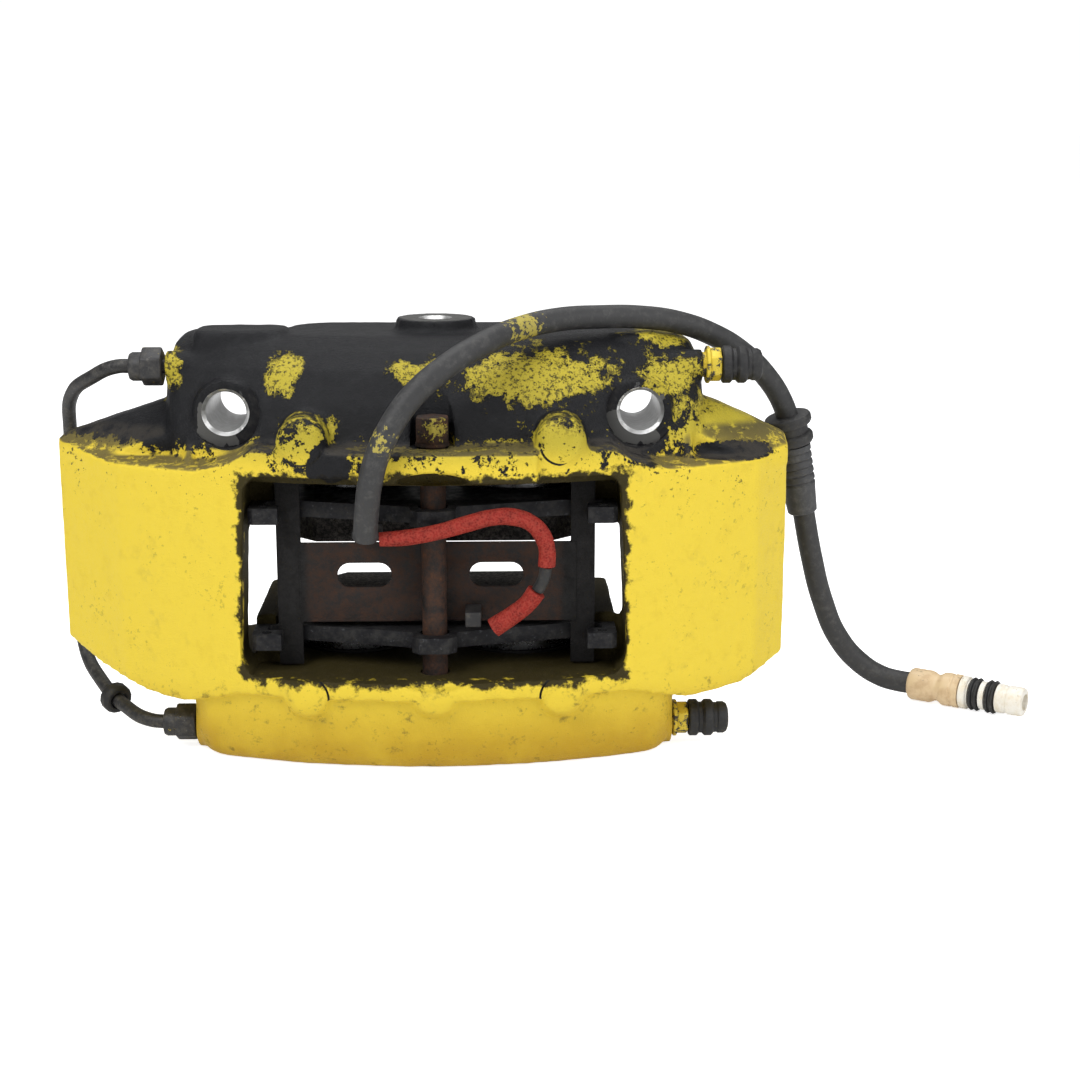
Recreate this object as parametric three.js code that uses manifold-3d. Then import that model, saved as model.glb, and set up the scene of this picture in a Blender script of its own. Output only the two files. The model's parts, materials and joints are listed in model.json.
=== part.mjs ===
// Fixed four-piston brake caliper with its worn pads, pad pin, pad spring, crossover pipe,
// bleed screws and pad-wear sensor cable. Millimetres, +Z up.
//
// The caliper lies on its outboard half. X runs along the rim of the disc, Y points from the
// rim towards the hub and Z is the wheel's axis, from the outboard to the inboard side.
// X = 0 is midway between the mounting bolts, Y = 0 is the front of the bridge and Z = 0 is
// the outboard face. At the end the whole group is centred on its footprint.
import * as THREE from 'three';
import { mergeVertices } from 'three/addons/utils/BufferGeometryUtils.js';
import { ConvexGeometry } from 'three/addons/geometries/ConvexGeometry.js';
import Module from 'manifold-3d';

const wasm = await Module();
wasm.setup();

// ---- driving dimensions ------------------------------------------------------------------
const CLEARANCE = 0.3; // between pieces that touch

// body
const RIM_RADIUS = 187; // outer face of the bridge about the hub
const BRIDGE = 17; // radial thickness of the bridge
const OUTBOARD_THICKNESS = 31; // of the outboard half
const INBOARD_THICKNESS = 42; // of the inboard half
const SLOT_WIDTH = 60; // between the inner faces of the halves
const BODY_DEPTH = 90; // front of the bridge to the back of the cylinders
const WING_LEFT = 121.5;
const WING_RIGHT = 114;
const INBOARD_LEFT_MARGIN = 21; // of the inboard half beyond the left bolt
const INBOARD_RIGHT_MARGIN = 21.5;
const OUTBOARD_LEFT = 78;
const OUTBOARD_RIGHT = 76.5;
const WINDOW_TOP_GAP = 0.8; // between the pads' ears and the sides of the window, at its top
const WINDOW_BOTTOM_GAP = 3;
const RAIL_HEIGHT = 8; // of the rail above the window
const BAND_HEIGHT = 6; // of the band below the window

// mounting ears
const BOLT_SPACING = 130;
const BOLT_BORE = 12.8;
const BOSS_RADIUS = 10.2;
const BOSS_FRONT = 30;
const BOSS_BACK = 67;
const BOSS_HEIGHT = 19.7; // of the bolt axis above the inner face of the inboard half

// hose port
const PORT_RADIUS = 13.1;
const PORT_BORE = 8.5;
const PORT_Y = 62;
const PORT_RISE = 3.8;
const PORT_DEPTH = 18;

// pistons
const PISTON_SPREAD = 27; // of each piston's axis from the middle
const PISTON_Y = 57;
const PISTON_LEFT_RADIUS = 18;
const PISTON_RIGHT_RADIUS = 20;
const PISTON_LENGTH = 24;
const PISTON_WALL = 5;
const CYLINDER_DEPTH = 24.6;
const SEAL_SECTION = 3;
const SEAL_SETBACK = 6.2; // of the seal groove from the mouth of the cylinder
const BOOT_SECTION = 3.4;
const BOOT_HEIGHT = 3.7;

// pads
const PLATE_THICKNESS = 5;
const LINING_THICKNESS = 3.6; // of the outboard pad, worn
const INBOARD_LINING_THICKNESS = 9.5; // less worn
const PAD_RETRACTION = 7.4; // of each pad from the face of its half
const PAD_MARGIN = 3; // of the backing plate beyond the larger piston
const PAD_BACK = 80;
const EAR_REACH = 7; // of the ears beyond the sides of the plate
const LINING_SETBACK = 4; // of the lining from the sides of the plate
const LINING_FRONT = 31;
const TAB_HALF_WIDTH = 7;
const TAB_FRONT = 6.6;
const ABUTMENT_THICKNESS = 6.8;
const ABUTMENT_HEIGHT = 15;

// pad pin and spring
const PIN_RADIUS = 4;
const PIN_Y = 14.6;
const PIN_END_DEPTH = 9; // of the pin's tip below the face of the outboard half
const PIN_HEAD_ACROSS = 9.8;
const PIN_HEAD_HEIGHT = 9;
const SPRING_THICKNESS = 1.2;
const SPRING_Y = 20;
const SPRING_HEIGHT = 25.6;
const SPRING_LEFT_SETBACK = 7.7; // of the sheet from the side of the plate
const SPRING_RIGHT_SETBACK = 5.4;
const SPRING_LEG_WIDTH = 7.6;

// hydraulics at the ends
const FITTING_SOCKET_DEPTH = 14;
const INBOARD_FITTING = { setback: 24.05, rise: 32.2 }; // from the rim, and above the inner face
const OUTBOARD_FITTING = { y: 33, z: 8.4 };
const PIPE_RADIUS = 2.3;
const NUT_ACROSS = 11;
const NUT_LENGTH = 6.6;
const NUT_COLLAR_RADIUS = 4.6;
const NUT_COLLAR_LENGTH = 4.2;
const BLEED_THREAD_RADIUS = 4;
const BLEED_THREAD_LENGTH = 12;
const BLEED_HEX_ACROSS = 9.6;
const BLEED_HEX_LENGTH = 5;
const NIPPLE_RADIUS = 3.2;
const NIPPLE_LENGTH = 9;
const CAP_RADIUS = 6;
const CAP_LENGTH = 13;

// sensor cable
const CABLE_RADIUS = 3.75;
const LEAD_RADIUS = 2.6;

// ---- values that follow ------------------------------------------------------------------
const FACE_OUT = OUTBOARD_THICKNESS;
const FACE_IN = FACE_OUT + SLOT_WIDTH;
const TOP = FACE_IN + INBOARD_THICKNESS;
const MIDDLE = (FACE_IN + FACE_OUT) / 2;
const WINDOW_TOP = FACE_IN + 3.5;
const WINDOW_BOTTOM = FACE_OUT;
const RAIL_TOP = WINDOW_TOP + RAIL_HEIGHT;
const SHELF_TOP = RAIL_TOP - 7;
const BAND_BOTTOM = WINDOW_BOTTOM - BAND_HEIGHT;
const BOLT_X = BOLT_SPACING / 2;
const INBOARD_LEFT = BOLT_X + INBOARD_LEFT_MARGIN;
const INBOARD_RIGHT = BOLT_X + INBOARD_RIGHT_MARGIN;
const BOLT_Z = FACE_IN + BOSS_HEIGHT;
const PORT_TOP = TOP + PORT_RISE;
const INBOARD_FITTING_Z = FACE_IN + INBOARD_FITTING.rise;
const PAD_HALF_WIDTH = PISTON_SPREAD + Math.max(PISTON_LEFT_RADIUS, PISTON_RIGHT_RADIUS) + PAD_MARGIN;
const EAR_HALF_WIDTH = PAD_HALF_WIDTH + EAR_REACH;
const LINING_HALF_WIDTH = PAD_HALF_WIDTH - LINING_SETBACK;
const WINDOW_TOP_HALF = EAR_HALF_WIDTH + WINDOW_TOP_GAP;
const WINDOW_BOTTOM_HALF = EAR_HALF_WIDTH + WINDOW_BOTTOM_GAP;
const SPRING_LEFT = PAD_HALF_WIDTH - SPRING_LEFT_SETBACK;
const SPRING_RIGHT = PAD_HALF_WIDTH - SPRING_RIGHT_SETBACK;
const ABUTMENT_INNER = PAD_HALF_WIDTH + 0.6;
const ABUTMENT_FRONT = 26.5;
const BACK_OF_EAR = ABUTMENT_FRONT - 1.2;

// ---- geometry helpers --------------------------------------------------------------------
const point = (x, y, z) => new THREE.Vector3(x, y, z);

// depth at which a cylinder about the hub lies, at x from the middle
const arcY = (x, radius = RIM_RADIUS) => RIM_RADIUS - Math.sqrt(radius * radius - x * x);

const INBOARD_FITTING_Y = arcY(INBOARD_LEFT) + INBOARD_FITTING.setback;

const spread = (from, to, count) =>
  Array.from({ length: count }, (_, i) => from + ((to - from) * i) / (count - 1));

function toSolid(geometry) {
  const bare = geometry.index ? geometry.clone() : geometry;
  bare.deleteAttribute('normal');
  bare.deleteAttribute('uv');
  const merged = mergeVertices(bare, 1e-4);
  const mesh = new wasm.Mesh({
    numProp: 3,
    vertProperties: new Float32Array(merged.attributes.position.array),
    triVerts: new Uint32Array(merged.index.array),
  });
  return new wasm.Manifold(mesh);
}

function toGeometry(solid) {
  const { vertProperties, triVerts, numProp } = solid.getMesh();
  const geometry = new THREE.BufferGeometry();
  const positions = new Float32Array((vertProperties.length / numProp) * 3);
  for (let i = 0; i < positions.length / 3; i += 1) {
    positions.set(vertProperties.slice(i * numProp, i * numProp + 3), i * 3);
  }
  geometry.setAttribute('position', new THREE.BufferAttribute(positions, 3));
  geometry.setIndex(new THREE.BufferAttribute(new Uint32Array(triVerts), 1));
  return geometry;
}

const join = (...solids) => solids.reduce((sum, solid) => sum.add(solid));
const cut = (solid, ...tools) => tools.reduce((rest, tool) => rest.subtract(tool), solid);

function box(x0, x1, y0, y1, z0, z1) {
  const geometry = new THREE.BoxGeometry(x1 - x0, y1 - y0, z1 - z0);
  return toSolid(geometry.translate((x0 + x1) / 2, (y0 + y1) / 2, (z0 + z1) / 2));
}

// outlines drawn in a plane and extruded along the third axis
const PLANES = {
  x: new THREE.Matrix4().makeBasis(point(0, 1, 0), point(0, 0, 1), point(1, 0, 0)),
  y: new THREE.Matrix4().makeBasis(point(-1, 0, 0), point(0, 0, 1), point(0, 1, 0)),
  z: new THREE.Matrix4().identity(),
};

function extrude(axis, shape, from, to, curveSegments = 6) {
  const settings = { depth: to - from, bevelEnabled: false, curveSegments };
  return new THREE.ExtrudeGeometry(shape, settings).translate(0, 0, from).applyMatrix4(PLANES[axis]);
}

const polygon = (points) => new THREE.Shape(points.map(([x, y]) => new THREE.Vector2(x, y)));

// outline in X and Z, extruded along Y
const mirrored = (points) => points.map(([x, z]) => [-x, z]).reverse();
const frontal = (points, from, to) => toSolid(extrude('y', polygon(mirrored(points)), from, to));

const AXES = { x: [0, 0, -Math.PI / 2], y: [0, 0, 0], z: [Math.PI / 2, 0, 0] };

// solid of revolution about an axis: profile of [radius, distance along the axis] pairs
function turned(axis, profile, segments = 32) {
  const lathe = new THREE.LatheGeometry(profile.map(([r, h]) => new THREE.Vector2(r, h)), segments);
  const [rx, ry, rz] = AXES[axis];
  return lathe.rotateX(rx).rotateY(ry).rotateZ(rz);
}

const rod = (axis, radius, from, to, segments = 32) =>
  toSolid(turned(axis, [[0, from], [radius, from], [radius, to], [0, to]], segments));

// ring with a bore: profile closes on itself
const tubeProfile = (inner, outer, from, to) =>
  [[inner, from], [outer, from], [outer, to], [inner, to], [inner, from]];

// stack of outlines of equal point counts, joined by walls and capped at both ends
function loft(rings) {
  const count = rings[0].outline.length;
  const positions = rings.flatMap(({ z, outline }) => outline.flatMap((p) => [p.x, p.y, z]));
  const index = [];
  for (let level = 0; level < rings.length - 1; level += 1) {
    for (let i = 0; i < count; i += 1) {
      const a = level * count + i;
      const b = level * count + ((i + 1) % count);
      index.push(a, b, b + count, a, b + count, a + count);
    }
  }
  const last = (rings.length - 1) * count;
  const cap = (outline) => THREE.ShapeUtils.triangulateShape(outline, []);
  cap(rings[0].outline).forEach(([a, b, c]) => index.push(c, b, a));
  cap(rings.at(-1).outline).forEach(([a, b, c]) => index.push(last + a, last + b, last + c));
  const geometry = new THREE.BufferGeometry();
  geometry.setAttribute('position', new THREE.Float32BufferAttribute(positions, 3));
  return toSolid(geometry.setIndex(index));
}

const hexagon = (across) =>
  spread(0, 300, 6).map((angle) => {
    const corner = across / Math.sqrt(3);
    const turn = THREE.MathUtils.degToRad(angle);
    return [corner * Math.cos(turn), corner * Math.sin(turn)];
  });

function tubeAlong(curve, radius, sides, steps) {
  const section = new THREE.Shape();
  section.absarc(0, 0, radius, 0, 2 * Math.PI);
  const settings = { steps, extrudePath: curve, curveSegments: sides / 2, bevelEnabled: false };
  return new THREE.ExtrudeGeometry(section, settings);
}

const parts = [];
function add(name, shape, colour, roughness, metalness) {
  const geometry = shape.isBufferGeometry ? shape : toGeometry(shape);
  const material = new THREE.MeshStandardMaterial({ color: colour, roughness, metalness });
  const mesh = new THREE.Mesh(geometry, material);
  mesh.name = name;
  parts.push(mesh);
  return mesh;
}

// ---- caliper body ------------------------------------------------------------------------
// front edge that follows the rim, rounded into the ends
function frontEdge(path, left, right, front) {
  const corner = 9;
  const xs = spread(-left + corner, right - corner, 15);
  path.moveTo(xs[0], arcY(xs[0]) + front);
  xs.slice(1).forEach((x) => path.lineTo(x, arcY(x) + front));
  path.quadraticCurveTo(right, arcY(right) + front - 2, right, arcY(right) + front + corner);
}

function closeEdge(path, left, front) {
  const corner = 9;
  path.lineTo(-left, arcY(left) + front + corner);
  path.quadraticCurveTo(-left, arcY(left) + front - 2, -left + corner, arcY(left - corner) + front);
}

// two cylinders side by side, with a valley between them
function cylinderBacks(path, back, valley) {
  const shoulder = PISTON_SPREAD + PISTON_RIGHT_RADIUS;
  path.quadraticCurveTo(shoulder, back, shoulder - 14, back);
  path.lineTo(13, back);
  path.quadraticCurveTo(5, back, 0, back - valley);
  path.quadraticCurveTo(-5, back, -13, back);
  path.lineTo(-shoulder + 14, back);
  path.quadraticCurveTo(-shoulder, back, -shoulder - 3, back - 16);
}

function outlineOf(path) {
  const points = path.getPoints(4);
  return points.at(-1).distanceTo(points[0]) < 1e-6 ? points.slice(0, -1) : points;
}

function inboardOutline(front, inset) {
  const left = INBOARD_LEFT - inset;
  const right = INBOARD_RIGHT - 1.8 * inset; // the right end falls away more, under the cable
  const back = BODY_DEPTH - inset;
  const ear = BOSS_BACK;
  const neck = PISTON_SPREAD + PISTON_RIGHT_RADIUS + 3;
  const path = new THREE.Path();
  frontEdge(path, left, right, front);
  path.lineTo(right, Math.max(ear - 6, arcY(right) + front + 10));
  path.quadraticCurveTo(right, ear, right - 6, ear);
  path.lineTo(neck + 7, ear);
  path.quadraticCurveTo(neck, ear, neck, back - 16);
  cylinderBacks(path, back, 9);
  path.quadraticCurveTo(-neck, ear, -neck - 7, ear);
  path.lineTo(-left + 6, ear);
  path.quadraticCurveTo(-left, ear, -left, Math.max(ear - 6, arcY(left) + front + 10));
  closeEdge(path, left, front);
  return outlineOf(path);
}

function outboardOutline(front, inset) {
  const left = OUTBOARD_LEFT - inset;
  const right = OUTBOARD_RIGHT - inset;
  const back = BODY_DEPTH - inset;
  const neck = PISTON_SPREAD + PISTON_RIGHT_RADIUS + 3;
  const path = new THREE.Path();
  frontEdge(path, left, right, front);
  path.lineTo(right, back - 38);
  path.quadraticCurveTo(right, back - 18, neck, back - 16);
  cylinderBacks(path, back, 9);
  path.quadraticCurveTo(-left, back - 18, -left, back - 38);
  closeEdge(path, left, front);
  return outlineOf(path);
}

function inboardHalf() {
  return loft([
    { z: FACE_IN, outline: inboardOutline(8, 0) },
    { z: SHELF_TOP - 0.5, outline: inboardOutline(8, 0) },
    { z: SHELF_TOP + 1, outline: inboardOutline(12.5, 0) },
    { z: RAIL_TOP + 1, outline: inboardOutline(14, 0) },
    { z: TOP - 19, outline: inboardOutline(18, 0) },
    { z: TOP - 9, outline: inboardOutline(24, 0.5) },
    { z: TOP - 3.5, outline: inboardOutline(30, 2) },
    { z: TOP - 1, outline: inboardOutline(35, 4.5) },
    { z: TOP, outline: inboardOutline(40, 8) },
  ]);
}

function outboardHalf() {
  return loft([
    { z: 0, outline: outboardOutline(11, 7) },
    { z: 1.2, outline: outboardOutline(8.5, 3) },
    { z: 4, outline: outboardOutline(6.8, 1) },
    { z: 10, outline: outboardOutline(5, 0) },
    { z: BAND_BOTTOM, outline: outboardOutline(3, 0) },
    { z: FACE_OUT, outline: outboardOutline(3, 0) },
  ]);
}

// curved shell over the rim of the disc, with both wings and the window in its middle
function bridge() {
  const inner = RIM_RADIUS - BRIDGE;
  const facet = 11; // the last stretch of each wing is a flat that turns away more
  const plan = [
    [-WING_LEFT, arcY(WING_LEFT) + 2.2],
    ...spread(-WING_LEFT + 2 * facet, WING_RIGHT - facet, 21).map((x) => [x, arcY(x)]),
    [WING_RIGHT, arcY(WING_RIGHT) + 5],
    ...spread(WING_RIGHT, -WING_LEFT, 17).map((x) => [x, arcY(x, inner)]),
  ];
  const shell = toSolid(extrude('z', polygon(plan), 0, TOP));
  const silhouette = [
    [-WING_LEFT, BAND_BOTTOM + 8.5], [-WING_LEFT + 12, BAND_BOTTOM + 2.5],
    [-WING_LEFT + 29.5, BAND_BOTTOM - 3.5], [-WING_LEFT + 41.5, BAND_BOTTOM - 5],
    [-WINDOW_BOTTOM_HALF, BAND_BOTTOM], [WINDOW_BOTTOM_HALF, BAND_BOTTOM],
    [WING_RIGHT - 34, BAND_BOTTOM - 5], [WING_RIGHT - 16, BAND_BOTTOM - 3.5],
    [WING_RIGHT, BAND_BOTTOM + 2.5], [WING_RIGHT, SHELF_TOP + 3],
    [WING_RIGHT - 11, SHELF_TOP], [BOLT_X + 7, SHELF_TOP], [WINDOW_TOP_HALF + 4, SHELF_TOP + 3],
    [WINDOW_TOP_HALF - 3, RAIL_TOP], [-WINDOW_TOP_HALF + 3, RAIL_TOP],
    [-WINDOW_TOP_HALF - 4, SHELF_TOP + 3], [-BOLT_X - 7, SHELF_TOP],
    [-WING_LEFT + 18, SHELF_TOP], [-WING_LEFT, SHELF_TOP + 4.5],
  ];
  return cut(shell.intersect(frontal(silhouette, -5, BODY_DEPTH)), windowOpening());
}

function windowOpening() {
  const r = 7;
  const [top, bottom] = [WINDOW_TOP_HALF, WINDOW_BOTTOM_HALF];
  const opening = new THREE.Shape();
  opening.moveTo(-bottom + r, WINDOW_BOTTOM);
  opening.lineTo(-12, WINDOW_BOTTOM);
  opening.quadraticCurveTo(0, WINDOW_BOTTOM - 6, 12, WINDOW_BOTTOM);
  opening.lineTo(bottom - r, WINDOW_BOTTOM);
  opening.quadraticCurveTo(bottom, WINDOW_BOTTOM, bottom, WINDOW_BOTTOM + r);
  opening.lineTo(top, WINDOW_TOP - r);
  opening.quadraticCurveTo(top, WINDOW_TOP, top - r, WINDOW_TOP);
  opening.lineTo(11, WINDOW_TOP);
  opening.quadraticCurveTo(0, WINDOW_TOP + 5, -11, WINDOW_TOP);
  opening.lineTo(-top + r, WINDOW_TOP);
  opening.quadraticCurveTo(-top, WINDOW_TOP, -top, WINDOW_TOP - r);
  opening.lineTo(-bottom, WINDOW_BOTTOM + r);
  opening.quadraticCurveTo(-bottom, WINDOW_BOTTOM, -bottom + r, WINDOW_BOTTOM);
  return toSolid(extrude('y', opening, -10, 45));
}

// slanted block that ties the top of a wing to the end of the inboard half
function wingShoulder(side, tip, end) {
  const low = FACE_IN;
  const tipFront = arcY(tip) + 3;
  const tipBack = arcY(tip, RIM_RADIUS - BRIDGE) - 0.5;
  const corner = tip - 12;
  const points = [
    [corner, arcY(corner) + 1, SHELF_TOP - 1], [tip, tipFront, SHELF_TOP + 2],
    [tip, 50, SHELF_TOP + 4.5], [tip, tipBack, SHELF_TOP + 4], [tip, tipBack, low], [tip, tipFront, low],
    [end + 6, 48, BOLT_Z - 0.5], [end + 6, 60, BOLT_Z - 1], [end - 6, 48, BOLT_Z + 4],
    [end - 6, 62, BOLT_Z + 3], [end - 6, 62, low], [end + 8, 64, low],
    [end - 7, 35, BOLT_Z - 6.5], [end - 7, 36, low], [corner, arcY(corner) + 1.5, low],
  ];
  return toSolid(new ConvexGeometry(points.map(([x, y, z]) => point(side * x, y, z))));
}

function earRib(side, x) {
  const profile = [[arcY(x) + 5, SHELF_TOP - 1], [38, SHELF_TOP - 1], [38, BOLT_Z - 4], [33, BOLT_Z - 6]];
  const rib = toSolid(extrude('x', polygon(profile), x - 1.5, x + 1.5));
  return side > 0 ? rib : rib.scale([-1, 1, 1]);
}

function boltBoss(x) {
  const collar = rod('y', BOSS_RADIUS, BOSS_FRONT, BOSS_BACK, 28).translate([x, 0, BOLT_Z]);
  const ear = rod('y', BOSS_RADIUS + 3.5, BOSS_FRONT + 9, BOSS_BACK, 20).translate([x, 0, BOLT_Z]);
  return join(collar, ear);
}

// round cast hump on the face of the bridge, with the flat disc that it ends in
function hump(x, z, radius, front, back) {
  const disc = rod('y', radius - 1.6, front, back, 16);
  const dome = rod('y', radius, front + 2, back, 16);
  return join(disc, dome).translate([x, 0, z]);
}

function humps() {
  const spreadOfHumps = 39.2;
  return [
    hump(-spreadOfHumps, RAIL_TOP + 2.5, 7.8, 3.2, 26), hump(spreadOfHumps, RAIL_TOP + 2.5, 7.8, 3.2, 26),
    hump(-spreadOfHumps, BAND_BOTTOM + 0.5, 7.4, 3.4, 14), hump(spreadOfHumps, BAND_BOTTOM + 0.5, 7.4, 3.4, 14),
    hump(0, BAND_BOTTOM + 2, 8, 0.2, 14),
  ];
}

function plateau(x0, x1, y0, y1, z, slope) {
  const outline = (inset) => {
    const path = new THREE.Path();
    const r = 6;
    const [l, h, f, b] = [x0 + inset, x1 - inset, y0 + inset, y1 - inset];
    path.moveTo(l + r, f);
    path.lineTo(h - r, f);
    path.quadraticCurveTo(h, f, h, f + r);
    path.lineTo(h, b - r);
    path.quadraticCurveTo(h, b, h - r, b);
    path.lineTo(l + r, b);
    path.quadraticCurveTo(l, b, l, b - r);
    path.lineTo(l, f + r);
    path.quadraticCurveTo(l, f, l + r, f);
    return outlineOf(path);
  };
  return loft([
    { z: TOP - 9, outline: outline(-1) }, { z: z - 1, outline: outline(slope) },
    { z, outline: outline(slope + 1) },
  ]);
}

function abutments() {
  const outer = ABUTMENT_INNER + ABUTMENT_THICKNESS;
  return [-1, 1].flatMap((side) => {
    const [x0, x1] = side > 0 ? [ABUTMENT_INNER, outer] : [-outer, -ABUTMENT_INNER];
    return [
      box(x0, x1, ABUTMENT_FRONT, PAD_BACK, FACE_IN - ABUTMENT_HEIGHT, FACE_IN + 2),
      box(x0, x1, ABUTMENT_FRONT, PAD_BACK - 6, FACE_OUT - 2, FACE_OUT + ABUTMENT_HEIGHT),
    ];
  });
}

const PISTONS = [
  { side: 'left', x: -PISTON_SPREAD, radius: PISTON_LEFT_RADIUS },
  { side: 'right', x: PISTON_SPREAD, radius: PISTON_RIGHT_RADIUS },
];
const HALVES = [
  { half: 'inboard', face: FACE_IN, up: 1 },
  { half: 'outboard', face: FACE_OUT, up: -1 },
];

// cylinder with its seal groove and the recess of the dust boot, drawn upwards from z = 0
function cylinderCut(radius) {
  const bore = radius + CLEARANCE;
  const groove = radius + SEAL_SECTION + CLEARANCE;
  const recess = radius + BOOT_SECTION + CLEARANCE;
  const grooveEnd = SEAL_SETBACK + SEAL_SECTION + CLEARANCE;
  return [
    [0, -1], [recess, -1], [recess, BOOT_HEIGHT + CLEARANCE], [bore, BOOT_HEIGHT + CLEARANCE],
    [bore, SEAL_SETBACK - CLEARANCE], [groove, SEAL_SETBACK - CLEARANCE], [groove, grooveEnd],
    [bore, grooveEnd], [bore, CYLINDER_DEPTH], [0, CYLINDER_DEPTH + 1],
  ];
}

// places something drawn upwards from z = 0 at the mouth of a cylinder
const flip = (geometry, up) => (up > 0 ? geometry : geometry.rotateX(Math.PI));
const placeAtMouth = (geometry, { x }, { face, up }) => flip(geometry, up).translate(x, PISTON_Y, face);

// a lathe drawn about Z with its profile's distances growing upwards
const turnedUp = (profile, segments) =>
  new THREE.LatheGeometry(profile.map(([r, h]) => new THREE.Vector2(r, h)), segments).rotateX(Math.PI / 2);

function caliperBody() {
  const shoulders = [
    wingShoulder(-1, WING_LEFT, INBOARD_LEFT), wingShoulder(1, WING_RIGHT, INBOARD_RIGHT),
    earRib(-1, BOLT_X + 11.5), earRib(1, BOLT_X + 15),
  ];
  const port = join(
    rod('z', PORT_RADIUS, TOP - 8, PORT_TOP, 28),
    toSolid(turned('z', [[0, TOP - 8], [20, TOP - 8], [PORT_RADIUS, TOP + 1], [0, TOP + 1]], 28)),
  ).translate([0, PORT_Y, 0]);
  const lands = [plateau(-78, -46, 42, 64, TOP + 1.6, 1), plateau(54, 73, 42, 64, TOP + 0.3, 1)];
  const fittingBosses = [
    rod('x', 8, -OUTBOARD_LEFT + 0.2, -55, 24).translate([0, OUTBOARD_FITTING.y, OUTBOARD_FITTING.z]),
    rod('x', 8, 55, OUTBOARD_RIGHT - 0.2, 24).translate([0, OUTBOARD_FITTING.y, OUTBOARD_FITTING.z]),
  ];
  const lip = box(-23, 32, 0, 9, WINDOW_TOP - 1.4, RAIL_TOP);
  const bosses = cut(join(...humps()), windowOpening());
  const cast = join(
    bridge(), inboardHalf(), outboardHalf(), ...shoulders, boltBoss(-BOLT_X), boltBoss(BOLT_X),
    bosses, ...lands, port, ...fittingBosses, ...abutments(), lip,
  );
  const boltTools = [-BOLT_X, BOLT_X].flatMap((x) => [
    rod('y', BOLT_BORE / 2, -10, BODY_DEPTH + 10, 28).translate([x, 0, BOLT_Z]),
    rod('y', BOSS_RADIUS + 0.7, -10, BOSS_FRONT, 28).translate([x, 0, BOLT_Z]),
  ]);
  const cylinders = PISTONS.flatMap((piston) => HALVES.map((half) =>
    toSolid(placeAtMouth(turnedUp(cylinderCut(piston.radius), 20), piston, half))));
  const pinHole = PIN_RADIUS + CLEARANCE;
  const drillings = [
    rod('z', pinHole, FACE_IN - 5, RAIL_TOP + 20, 20).translate([0, PIN_Y, 0]),
    rod('z', PIN_HEAD_ACROSS / Math.sqrt(3) + 1, RAIL_TOP, TOP + 5, 20).translate([0, PIN_Y, 0]),
    rod('z', pinHole, FACE_OUT - PIN_END_DEPTH - 1, FACE_OUT + 5, 20).translate([0, PIN_Y, 0]),
    rod('z', PORT_BORE / 2, PORT_TOP - PORT_DEPTH, PORT_TOP + 1, 24).translate([0, PORT_Y, 0]),
    ...fittingSockets(),
  ];
  return cut(cast, arch(), ...boltTools, ...cylinders, ...drillings);
}

// relief above and below the pin, in the lip and the band
function arch() {
  const outline = new THREE.Shape();
  outline.moveTo(-11, WINDOW_TOP - 3);
  outline.lineTo(11, WINDOW_TOP - 3);
  outline.lineTo(11, WINDOW_TOP);
  outline.quadraticCurveTo(0, WINDOW_TOP + 4, -11, WINDOW_TOP);
  return toSolid(extrude('y', outline, -10, 10));
}

const FITTINGS = [
  { half: 'inboard', y: INBOARD_FITTING_Y, z: INBOARD_FITTING_Z, left: INBOARD_LEFT, right: INBOARD_RIGHT },
  { half: 'outboard', y: OUTBOARD_FITTING.y, z: OUTBOARD_FITTING.z, left: OUTBOARD_LEFT, right: OUTBOARD_RIGHT },
];

function fittingSockets() {
  const radius = BLEED_THREAD_RADIUS + CLEARANCE;
  return FITTINGS.flatMap(({ y, z, left, right }) => [
    rod('x', radius, -left - 2, -left + FITTING_SOCKET_DEPTH, 20).translate([0, y, z]),
    rod('x', radius, right - FITTING_SOCKET_DEPTH, right + 2, 20).translate([0, y, z]),
  ]);
}

add('caliper_body', caliperBody(), '#e6c22e', 0.5, 0.1);

// ---- pistons, seals and dust boots -------------------------------------------------------
const PLATE_BACK = PAD_RETRACTION; // distance of the backing plate's back from the half's face

function pistonProfile(radius) {
  const front = -PLATE_BACK + CLEARANCE;
  const end = front + PISTON_LENGTH;
  const inner = radius - PISTON_WALL;
  return [
    [0, end - PISTON_WALL - 4], [inner, end - PISTON_WALL - 4], [inner, front], [radius - 0.8, front],
    [radius, front + 0.8], [radius, end - 1], [radius - 1, end], [0, end],
  ];
}

HALVES.forEach((half) => PISTONS.forEach((piston) => {
  const { radius } = piston;
  const inner = radius + CLEARANCE;
  const label = `${half.half}_${piston.side}`;
  const sealTop = SEAL_SETBACK + SEAL_SECTION;
  const seal = tubeProfile(inner, radius + SEAL_SECTION, SEAL_SETBACK, sealTop);
  const boot = [
    [inner, 0.4], [radius + 1.5, 0.2], [radius + 2, 1.4], [radius + BOOT_SECTION, 1.2],
    [radius + BOOT_SECTION, BOOT_HEIGHT], [inner, BOOT_HEIGHT], [inner, 0.4],
  ];
  const place = (profile) => placeAtMouth(turnedUp(profile, 20), piston, half);
  add(`piston_${label}`, toSolid(place(pistonProfile(radius))), '#b9bbbd', 0.25, 1);
  add(`piston_seal_${label}`, toSolid(place(seal)), '#1c1c1e', 0.8, 0);
  add(`dust_boot_${label}`, toSolid(place(boot)), '#19191b', 0.85, 0);
}));

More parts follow.
